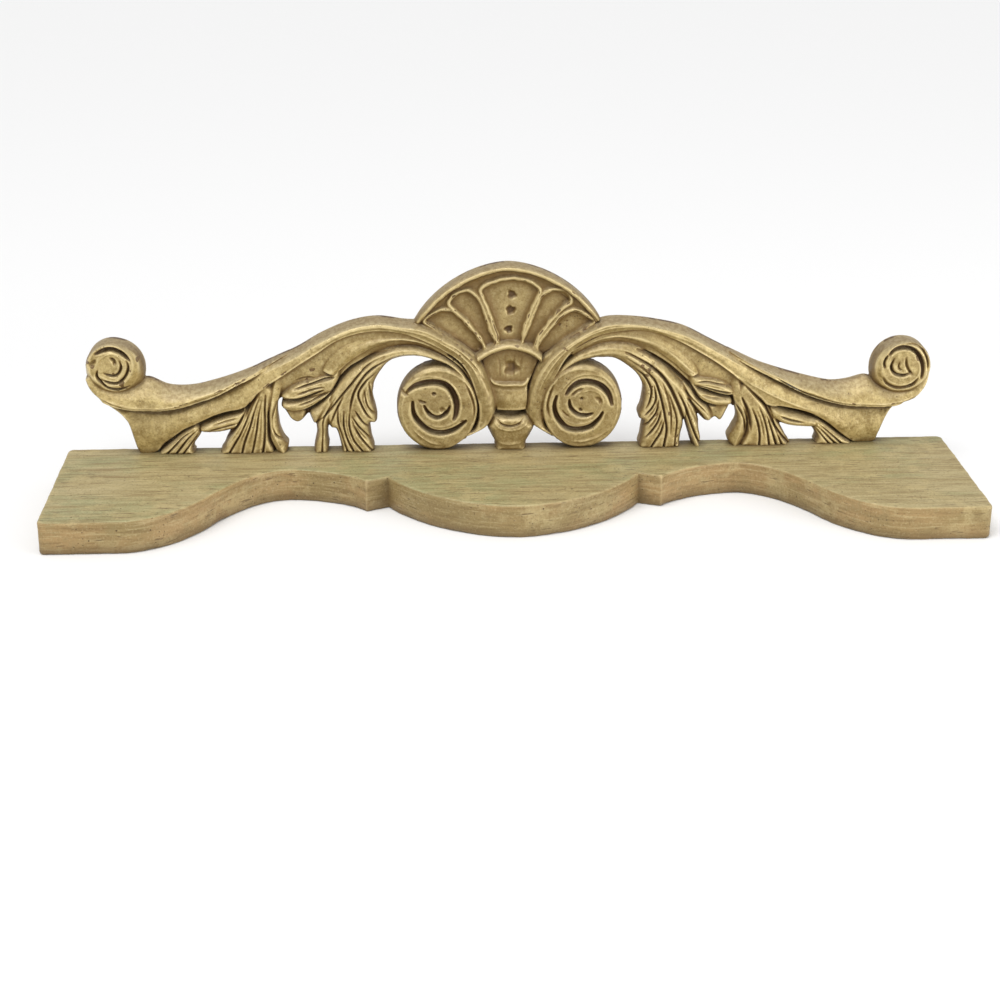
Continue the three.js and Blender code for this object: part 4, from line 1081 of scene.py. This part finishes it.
def mesh_from(name, points, faces):
    mesh = bpy.data.meshes.new(name)
    mesh.vertices.add(len(points))
    mesh.vertices.foreach_set("co", points.ravel())
    size = faces.shape[1]
    mesh.loops.add(faces.size)
    mesh.loops.foreach_set("vertex_index", faces.ravel())
    mesh.polygons.add(len(faces))
    mesh.polygons.foreach_set("loop_start", np.arange(0, faces.size, size, dtype=np.int32))
    mesh.polygons.foreach_set("loop_total", np.full(len(faces), size, np.int32))
    mesh.update(calc_edges=True)
    mesh.validate()
    made = bpy.data.objects.new(name, mesh)
    bpy.context.scene.collection.objects.link(made)
    return made


def smooth_shaded(piece, degrees):
    """Shades a piece smoothly, but for edges that turn by more than an angle."""
    piece.data.polygons.foreach_set("use_smooth", np.ones(len(piece.data.polygons), bool))
    piece.data.set_sharp_from_angle(angle=math.radians(degrees))


def thinned(piece, triangles, quads):
    """Reduces a mesh of quads to a number of triangles."""
    thin = piece.modifiers.new("thin", "DECIMATE")
    thin.ratio = triangles / (2 * quads)
    thin.use_collapse_triangulate = True
    graph = bpy.context.evaluated_depsgraph_get()
    final = bpy.data.meshes.new_from_object(piece.evaluated_get(graph))
    piece.modifiers.clear()
    piece.data = final


def crest_attributes():
    """The height sheet's fields, read at each point for the material."""
    co = np.empty(len(crest.data.vertices) * 3, np.float32)
    crest.data.vertices.foreach_get("co", co)
    co = co.reshape(-1, 3) / MM
    x, z = co[:, 0], co[:, 2] - SEAT
    relief = BACK - co[:, 1]
    facing = np.clip(1 - (sample(height, x, z) - relief) / 2.5, 0, 1)
    fields = (("hollow", hollow, 0), ("crease", crease, 0), ("stain_and_shade", stain_and_shade, WALL_TONE),
              ("flaked", flaked, 0))
    for name, field, on_walls in fields:
        values = sample(field, x, z) * facing + on_walls * (1 - facing)
        layer = crest.data.attributes.new(name, "FLOAT", "POINT")
        layer.data.foreach_set("value", values.astype(np.float32))


points, faces = crest_mesh()
crest = mesh_from("crest", points, faces)
thinned(crest, CREST_TRIANGLES, len(faces))
smooth_shaded(crest, 52)
crest_attributes()
print("crest triangles", len(crest.data.polygons))


# Shelf board

# its front's turning points, as x and distance from the back; an ear is a square end
EAR = 75.0
COVE = (222.0, 70.0)
SWELL = (295.0, 137.0)
NOTCH = (145.5, 104.0)
STEP = (124.0, 94.0)
BOW = 177.0
CORNER = 6.0

# how far its edges are worn, and how much further in its flat faces begin
TOP_WEAR = 2.2
LOW_WEAR = 3.4
CAP_MARGIN = 2.5


def steps(count):
    return np.linspace(0, 1, count, endpoint=False)[:, None]


def bezier(p0, p1, p2, p3, count):
    t = steps(count)
    p0, p1, p2, p3 = map(np.array, (p0, p1, p2, p3))
    return (1 - t) ** 3 * p0 + 3 * (1 - t) ** 2 * t * p1 + 3 * (1 - t) * t * t * p2 + t ** 3 * p3


def straight(p0, p1, count):
    t = steps(count)
    return np.array(p0) * (1 - t) + np.array(p1) * t


def board_outline():
    """One half of the outline as x and distance from the back, then its mirror."""
    end = BOARD_LENGTH / 2
    ear = end - EAR
    width = ear - SWELL[0]
    fall = BOARD_DEPTH - SWELL[1]
    cove_width = SWELL[0] - COVE[0]
    cove_depth = SWELL[1] - COVE[1]
    span = COVE[0] - NOTCH[0]
    corner = [(CORNER * math.sin(a), CORNER * math.cos(a))
              for a in np.linspace(0, math.pi / 2, 6, endpoint=False)]
    runs = [
        bezier((0, BOW), (0.39 * STEP[0], BOW), (0.81 * STEP[0], STEP[1] + 0.53 * (BOW - STEP[1])),
               STEP, 70),
        straight(STEP, NOTCH, 12),
        bezier(NOTCH, (NOTCH[0] + 0.14 * span, NOTCH[1] - 0.4 * (NOTCH[1] - COVE[1])),
               (COVE[0] - 0.42 * span, COVE[1]), COVE, 45),
        bezier(COVE, (COVE[0] + 0.44 * cove_width, COVE[1]),
               (SWELL[0] - 0.19 * cove_width, SWELL[1] - 0.39 * cove_depth), SWELL, 45),
        bezier(SWELL, (SWELL[0] + 0.18 * width, SWELL[1] + 0.42 * fall),
               (ear - 0.44 * width, BOARD_DEPTH), (ear, BOARD_DEPTH), 50),
        straight((ear, BOARD_DEPTH), (end - CORNER, BOARD_DEPTH), 28),
        [(end - CORNER + s, BOARD_DEPTH - CORNER + c) for s, c in corner],
        straight((end, BOARD_DEPTH - CORNER), (end, CORNER), 80),
        [(end - CORNER + c, CORNER - s) for s, c in corner],
        straight((end - CORNER, 0), (0, 0), 180),
    ]
    right = np.vstack([np.array(run, float) for run in runs])
    left = right[1:][::-1] * [-1, 1]
    return np.vstack([right, [[0, 0]], left])


def turns(line):
    """The turn of the outline at each point, in radians, positive where the corner sticks out."""
    ahead, behind = np.roll(line, -1, 0) - line, line - np.roll(line, 1, 0)
    cross = behind[:, 0] * ahead[:, 1] - behind[:, 1] * ahead[:, 0]
    return -np.arctan2(cross, (behind * ahead).sum(1))


def inset_ring(line, inward, place, corners, inset):
    """The outline moved in; points that a corner overtakes are gathered at that corner."""
    inset = np.broadcast_to(inset, len(line)).copy()
    ring = line + inward * inset[:, None]
    for at, turn in corners:
        ring[at] = line[at] + inward[at] * inset[at] / math.cos(turn / 2)
        gap = np.abs(place - place[at])
        gap = np.minimum(gap, place[-1] - gap)
        ring[gap < inset[at] * math.tan(turn / 2) + 0.3] = ring[at]
    return ring


def unit(rows):
    return rows / np.linalg.norm(rows, axis=1, keepdims=True)


def board():
    line = board_outline()
    count = len(line)
    behind = np.roll(line, 1, 0)
    tangent = unit(unit(line - behind) + unit(np.roll(line, -1, 0) - line))
    inward = np.stack([tangent[:, 1], -tangent[:, 0]], 1)
    place = np.cumsum(np.linalg.norm(line - behind, axis=1))
    turn = turns(line)
    corners = [(i, turn[i]) for i in np.nonzero(turn > 0.5)[0]]

    def wander(scale, seed):
        """A slow wave along the outline that closes on itself."""
        phase = np.random.default_rng(seed).uniform(0, 6.28, 6)
        waves = [math.tau * round(place[-1] / (scale * f)) / place[-1] for f in (1, 1.7, 0.6)]
        return sum(np.sin(w * place + p) for w, p in zip(waves, phase)) / 2

    # rings from the top face over its worn edge, down the wall and round to the underside
    top = TOP_WEAR + 0.5 * wander(60, 3) + 0.35 * wander(17, 4)
    low = LOW_WEAR + 0.9 * wander(80, 5) + 0.5 * wander(23, 6)
    arc = [(1 - math.cos(a), 1 - math.sin(a)) for a in np.array([1, 0.85, 0.65, 0.4, 0]) * math.pi / 2]
    levels = [(top + CAP_MARGIN, BOARD_THICKNESS)]
    levels += [(top * across, BOARD_THICKNESS - top * down) for across, down in arc]
    levels += [(0.12 * (1 + wander(30, 7 + n)), BOARD_THICKNESS * level)
               for n, level in enumerate((0.72, 0.5, 0.3))]
    levels += [(low * across, low * up) for across, up in reversed(arc)]
    levels.append((low + CAP_MARGIN, 0.0))
    rings = []
    for inset, level in levels:
        ring = inset_ring(line, inward, place, corners, inset)
        rings.append(np.stack([ring[:, 0], BACK - ring[:, 1], level + np.zeros(count)], 1))
    index = np.arange(count)
    after = np.roll(index, -1)
    quads = [np.stack([r * count + index, (r + 1) * count + index, (r + 1) * count + after,
                       r * count + after], 1) for r in range(len(rings) - 1)]
    points = (np.concatenate(rings) * MM).astype(np.float32)
    made = mesh_from("board", points, np.concatenate(quads).astype(np.int32))

    # the grain of the walls runs along the outline
    run = np.where(line[:, 0] < 0, place - place[-1], place)
    flow = np.concatenate([np.stack([run, np.zeros(count), ring[:, 2]], 1) for ring in rings])
    layer = made.data.attributes.new("flow", "FLOAT_VECTOR", "POINT")
    layer.data.foreach_set("vector", (flow * MM).astype(np.float32).ravel())

    # the top and the underside are closed
    work = bmesh.new()
    work.from_mesh(made.data)
    bmesh.ops.remove_doubles(work, verts=work.verts, dist=0.00002)
    for level in (BOARD_THICKNESS * MM, 0.0):
        open_edges = [edge for edge in work.edges if edge.is_boundary
                      and all(abs(vert.co.z - level) < 1e-6 for vert in edge.verts)]
        bmesh.ops.triangle_fill(work, edges=open_edges, use_beauty=True)
    bmesh.ops.recalc_face_normals(work, faces=work.faces)
    work.to_mesh(made.data)
    work.free()
    smooth_shaded(made, 40)
    return made


shelf = board()


# Materials

def linear(colour):
    """A colour of the screen, 0 to 255, as linear light."""
    values = [value / 255 for value in colour]
    light = [v / 12.92 if v <= 0.04045 else ((v + 0.055) / 1.055) ** 2.4 for v in values]
    return (*light, 1.0)


class Nodes:
    """Short names for the shader nodes that both materials use; base is the colour so far."""

    def __init__(self, name):
        self.material = bpy.data.materials.new(name)
        self.material.use_nodes = True
        self.tree = self.material.node_tree
        self.shader = self.tree.nodes["Principled BSDF"]
        coords = self.add("TexCoord")
        self.place = coords.outputs["Object"]
        self.normal = coords.outputs["Normal"]
        self.base = None

    def add(self, kind, inputs=None, settings=None):
        node = self.tree.nodes.new("ShaderNode" + kind)
        for setting, value in (settings or {}).items():
            setattr(node, setting, value)
        for socket, value in (inputs or {}).items():
            self.link(value, node.inputs[socket])
        return node

    def link(self, value, socket):
        if hasattr(value, "is_linked"):
            self.tree.links.new(value, socket)
        else:
            socket.default_value = value

    def shade(self, **values):
        """Sets the surface's sockets, their names written with underscores."""
        for name, value in values.items():
            self.link(value, self.shader.inputs[name.replace("_", " ")])

    def axis(self, name, source=None):
        return self.add("SeparateXYZ", {0: source or self.place}).outputs[name]

    def mapping(self, scale, source=None):
        return self.add("Mapping", {"Vector": source or self.place, "Scale": scale}).outputs["Vector"]

    def noise(self, scale, detail=3.0, rough=0.55, stretch=(1, 1, 1), warp=0.0, source=None):
        node = self.add("TexNoise", {"Vector": self.mapping(stretch, source), "Scale": scale,
                                     "Detail": detail, "Roughness": rough, "Distortion": warp})
        return node.outputs["Fac"]

    def voronoi(self, scale):
        node = self.add("TexVoronoi", {"Vector": self.mapping((1, 1, 1)), "Scale": scale})
        return node.outputs["Distance"]

    def attribute(self, name, output="Fac"):
        return self.add("Attribute", settings={"attribute_name": name}).outputs[output]

    def occlusion(self, distance, inside=False):
        node = self.add("AmbientOcclusion", {"Distance": distance}, {"samples": 8, "inside": inside})
        return node.outputs["AO"]

    def math(self, kind, a, b=0.0):
        return self.add("Math", {0: a, 1: b}, {"operation": kind}).outputs[0]

    def times(self, a, b):
        return self.math("MULTIPLY", a, b)

    def plus(self, a, b):
        return self.math("ADD", a, b)

    def ramp(self, value, low, high, to_low=0.0, to_high=1.0):
        node = self.add("MapRange", settings={"interpolation_type": "SMOOTHSTEP"}, inputs={
            "Value": value, "From Min": low, "From Max": high, "To Min": to_low, "To Max": to_high})
        return node.outputs["Result"]

    def mix(self, share, a, b):
        """From a to b by a share; either may be a socket or a colour of the screen."""
        a, b = [linear(end) if isinstance(end, tuple) else end for end in (a, b)]
        return self.add("Mix", {0: share, 6: a, 7: b}, {"data_type": "RGBA"}).outputs[2]

    def tint(self, share, most, colour):
        """Lays a colour over the base by a share, and at most so far."""
        self.base = self.mix(self.times(share, most), self.base, colour)

    def tints(self, rows):
        """Rows of value, where it starts, where it is full, how far at most, and the colour."""
        for value, low, high, most, colour in rows:
            self.base = self.mix(self.ramp(value, low, high, 0, most), self.base, colour)

    def bump(self, rows):
        """Rows of value, strength and distance in metres, one bump over another."""
        normal = None
        for value, strength, distance in rows:
            node = self.add("Bump", {"Strength": strength, "Distance": distance, "Height": value})
            if normal is not None:
                self.link(normal, node.inputs["Normal"])
            normal = node.outputs["Normal"]
        return normal


def gilt():
    n = Nodes("aged_gilding")
    broad = n.noise(16, 3)
    small = n.noise(120, 4, 0.65)
    speck = n.noise(520, 3, 0.7)
    mottle = n.noise(250, 4, 0.7)
    crease = n.attribute("crease")
    n.base = n.mix(n.ramp(broad, 0.40, 0.60), (190, 167, 110), (170, 148, 96))
    n.tints([
        [small, 0.46, 0.60, 0.6, (208, 187, 128)],
        [n.noise(52, 5, 0.7), 0.51, 0.62, 0.6, (144, 121, 68)],
        [mottle, 0.51, 0.66, 0.45, (128, 104, 56)],
        [mottle, 0.47, 0.34, 0.4, (216, 198, 146)],
        [speck, 0.54, 0.66, 0.45, (116, 92, 48)],
        [speck, 0.45, 0.34, 0.35, (216, 200, 150)],
    ])

    # darker towards the middle
    centre = n.ramp(n.math("ABSOLUTE", n.axis("X")), 0.09, 0.20, 1.0, 0.0)
    n.tint(centre, 0.34, (112, 88, 46))

    # dark glaze and painted shade in the hollows, creases and occluded places, rubbed off the high parts
    glaze_and_shade = n.plus(n.times(n.attribute("hollow"), 0.38), n.times(crease, 0.5))
    glaze_and_shade = n.plus(glaze_and_shade, n.times(small, 0.5))
    glaze_and_shade = n.plus(glaze_and_shade, n.times(n.attribute("stain_and_shade"), 0.9))
    # ambient occlusion adds painted shade wherever the surface is hemmed in
    glaze_and_shade = n.plus(glaze_and_shade, n.ramp(n.occlusion(0.010), 0.35, 0.95, 0.45, 0.0))
    thin_glaze_and_shade = n.ramp(glaze_and_shade, 0.30, 0.95)
    n.tint(thin_glaze_and_shade, 0.78, (114, 86, 40))
    n.tint(n.ramp(glaze_and_shade, 0.95, 1.75), 0.88, (76, 51, 22))
    # pale colour on the ridges: rubbed gilding and a painted highlight
    rubbed_and_highlight = n.ramp(n.math("SUBTRACT", n.times(small, 0.55), crease), 0.38, 0.85)
    n.tint(rubbed_and_highlight, 0.6, (228, 208, 154))

    # chips down to the red-brown ground
    flaked = n.ramp(n.attribute("flaked"), 0.25, 0.7)
    n.tint(flaked, 0.85, n.mix(n.ramp(speck, 0.4, 0.6), (84, 58, 34), (112, 82, 50)))

    # faces turned away from the front are painted greyer and darker as painted shade, and upward faces a
    # pale grey-beige as painted light from above, with marks along the rear edge, and a plain sawn back
    backward = n.axis("Y", n.normal)
    side = n.ramp(n.math("ABSOLUTE", backward), 0.25, 0.65, 1.0, 0.0)
    n.tint(side, 0.30, (150, 134, 104))
    upward = n.ramp(n.axis("Z", n.normal), 0.35, 0.9)
    n.tint(upward, 0.6, n.mix(n.ramp(mottle, 0.42, 0.58), (176, 160, 126), (148, 130, 96)))
    rear = n.times(n.ramp(n.axis("Y"), 0.0935, 0.0955), upward)
    n.tint(n.times(rear, n.ramp(n.noise(27, 4, 0.7), 0.515, 0.54)), 0.85, (84, 60, 40))
    saw = n.noise(34, 4, 0.7, stretch=(1, 1, 0.07))
    plain = n.mix(n.ramp(saw, 0.35, 0.65), (120, 94, 60), (156, 130, 90))
    n.base = n.mix(n.ramp(backward, 0.6, 0.9), n.base, plain)

    pits = n.times(n.ramp(n.voronoi(190), 0.10, 0.17, 1.0, 0.0), n.ramp(n.noise(26, 2), 0.54, 0.60))
    n.tint(pits, 0.65, (84, 62, 30))
    rough = n.math("SUBTRACT", n.ramp(small, 0.3, 0.7, 0.34, 0.54), n.times(rubbed_and_highlight, 0.1))
    rough = n.plus(rough, n.times(n.plus(thin_glaze_and_shade, flaked), 0.14))
    normal = n.bump([
        [n.noise(210, 5, 0.65), 0.55, 0.0014],
        [n.noise(900, 3, 0.6), 0.35, 0.0004],
        [n.math("SUBTRACT", 1.0, pits), 0.6, 0.0007],
    ])
    n.shade(Base_Color=n.base, Roughness=rough, Metallic=0.25, Specular_IOR_Level=0.5, Normal=normal)
    return n.material


def paint():
    n = Nodes("aged_paint")
    upward = n.axis("Z", n.normal)
    top = n.ramp(n.math("ABSOLUTE", upward), 0.35, 0.8)
    flow = n.attribute("flow", "Vector")

    def grained(scale, detail, rough, stretch, warp=0.0):
        """Noise drawn out along the board on its faces, and along the outline on its walls."""
        flat = n.noise(scale, detail, rough, (stretch, 1, 1), warp)
        edge = n.noise(scale, detail, rough, (stretch, 1, 1), warp, flow)
        return n.plus(n.times(top, flat), n.times(n.math("SUBTRACT", 1.0, top), edge))

    broad = grained(14, 4, 0.6, 0.5)
    grain = grained(90, 5, 0.68, 0.08, 0.5)
    streak = grained(280, 4, 0.62, 0.075)
    dash = grained(360, 3, 0.6, 0.11)
    blotch = n.noise(34, 4, 0.65)
    speck = n.noise(480, 3, 0.65)
    top_colour = n.mix(n.ramp(broad, 0.42, 0.58), (154, 149, 106), (170, 155, 112))
    side_colour = n.mix(n.ramp(broad, 0.42, 0.58), (145, 125, 80), (164, 136, 90))
    n.base = n.mix(top, side_colour, top_colour)
    n.tints([
        [grain, 0.45, 0.60, 0.4, (132, 112, 70)],
        [streak, 0.51, 0.62, 0.4, (112, 88, 50)],
        [streak, 0.47, 0.36, 0.34, (196, 178, 132)],
        [blotch, 0.50, 0.62, 0.45, (184, 166, 118)],
        [n.noise(70, 4, 0.7), 0.52, 0.62, 0.35, (146, 130, 88)],
        [speck, 0.54, 0.66, 0.4, (112, 92, 54)],
        [speck, 0.44, 0.34, 0.25, (200, 184, 142)],
    ])

    # dashes, small holes and pores
    n.tint(n.times(n.ramp(dash, 0.60, 0.64), n.ramp(blotch, 0.46, 0.54)), 0.62, (84, 62, 36))
    holes = n.times(n.ramp(n.voronoi(85), 0.055, 0.085, 1.0, 0.0), n.ramp(n.noise(11, 2), 0.50, 0.57))
    pores = n.times(n.ramp(n.voronoi(210), 0.10, 0.16, 1.0, 0.0), n.ramp(n.noise(24, 3), 0.50, 0.56))
    spots = n.math("MAXIMUM", holes, n.times(pores, 0.75))
    n.tint(spots, 0.8, (82, 58, 32))

    # edges worn light and dark, painted shade where the crest stands and along the foot of the walls, and
    # bare wood underneath
    rim = n.occlusion(0.005, True)
    light_edge = n.times(n.ramp(rim, 0.85, 0.45), n.ramp(n.noise(60, 4, 0.65), 0.34, 0.56))
    n.tint(light_edge, 0.7, (212, 190, 142))
    dark_edge = n.times(n.ramp(rim, 0.62, 0.25), n.ramp(n.noise(38, 4, 0.7), 0.57, 0.64))
    n.tint(dark_edge, 0.75, (96, 66, 40))
    # occlusion darkens close corners: painted shade
    n.tint(n.ramp(n.occlusion(0.020), 0.45, 0.95, 1.0, 0.0), 0.55, (92, 70, 40))
    wood = n.mix(n.ramp(grain, 0.4, 0.6), (140, 112, 72), (116, 90, 56))
    n.base = n.mix(n.ramp(upward, -0.6, -0.9), n.base, wood)
    normal = n.bump([
        [grain, 0.4, 0.0009],
        [streak, 0.3, 0.0004],
        [blotch, 0.3, 0.0018],
        [n.math("SUBTRACT", 1.0, spots), 0.7, 0.0012],
    ])
    n.shade(Base_Color=n.base, Roughness=n.ramp(grain, 0.3, 0.7, 0.46, 0.62), Specular_IOR_Level=0.4,
            Normal=normal)
    return n.material


crest.data.materials.clear()
crest.data.materials.append(gilt())
shelf.data.materials.clear()
shelf.data.materials.append(paint())
for piece, node, slot in ((crest, "carved_crest", "crest_gilding"), (shelf, "shelf_board", "board_paint")):
    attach(piece, "root")
    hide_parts(node)


# Studio

def placed(name, data, place, aim):
    """Puts a lamp in the scene, pointing at a place."""
    made = bpy.data.objects.new(name, data)
    made.location = place
    made.rotation_euler = (Vector(aim) - Vector(place)).to_track_quat("-Z", "Y").to_euler()
    bpy.context.scene.collection.objects.link(made)


def area_light(name, place, aim, size, power):
    lamp = bpy.data.lights.new(name, "AREA")
    lamp.shape = "RECTANGLE"
    lamp.size, lamp.size_y = size
    lamp.energy = power
    placed(name, lamp, place, aim)


floor_mesh = bpy.data.meshes.new("floor")
floor_mesh.from_pydata([(-6, -6, 0), (6, -6, 0), (6, 6, 0), (-6, 6, 0)], [], [(0, 1, 2, 3)])
floor = bpy.data.objects.new("floor", floor_mesh)
bpy.context.scene.collection.objects.link(floor)
floor_material = bpy.data.materials.new("floor")
floor_material.use_nodes = True
floor_shader = floor_material.node_tree.nodes["Principled BSDF"]
floor_shader.inputs["Base Color"].default_value = (0.86, 0.86, 0.86, 1)
floor_shader.inputs["Roughness"].default_value = 0.9
floor_mesh.materials.append(floor_material)

world = bpy.data.worlds.new("studio")
world.use_nodes = True
background = world.node_tree.nodes["Background"].inputs
background["Color"].default_value = (1, 1, 1, 1)
background["Strength"].default_value = 0.62
bpy.context.scene.world = world
bpy.context.scene.view_settings.view_transform = "Standard"

sun = bpy.data.lights.new("sky", "SUN")
sun.energy = 1.5
sun.angle = math.radians(50)
placed("sky", sun, (-0.25, -0.35, 1.0), (0, 0, 0))
area_light("key", (-0.6, -1.0, 1.9), (0, 0, 0.1), (1.0, 0.6), 9)
area_light("fill", (1.9, -1.3, 0.45), (0, 0, 0.05), (0.8, 0.8), 19)

# the camera looks down at the object and a little to the right, in degrees
TILT, TURN = 21.479, 2.643
lens = bpy.data.cameras.new("camera")
lens.lens = 72
lens.sensor_width = 36
lens.sensor_fit = "HORIZONTAL"
camera = bpy.data.objects.new("camera", lens)
camera.location = (-0.09872, -1.83772, 0.73270)
camera.rotation_euler = (math.radians(90 - TILT), 0, math.radians(-TURN))
bpy.context.scene.collection.objects.link(camera)
bpy.context.scene.camera = camera
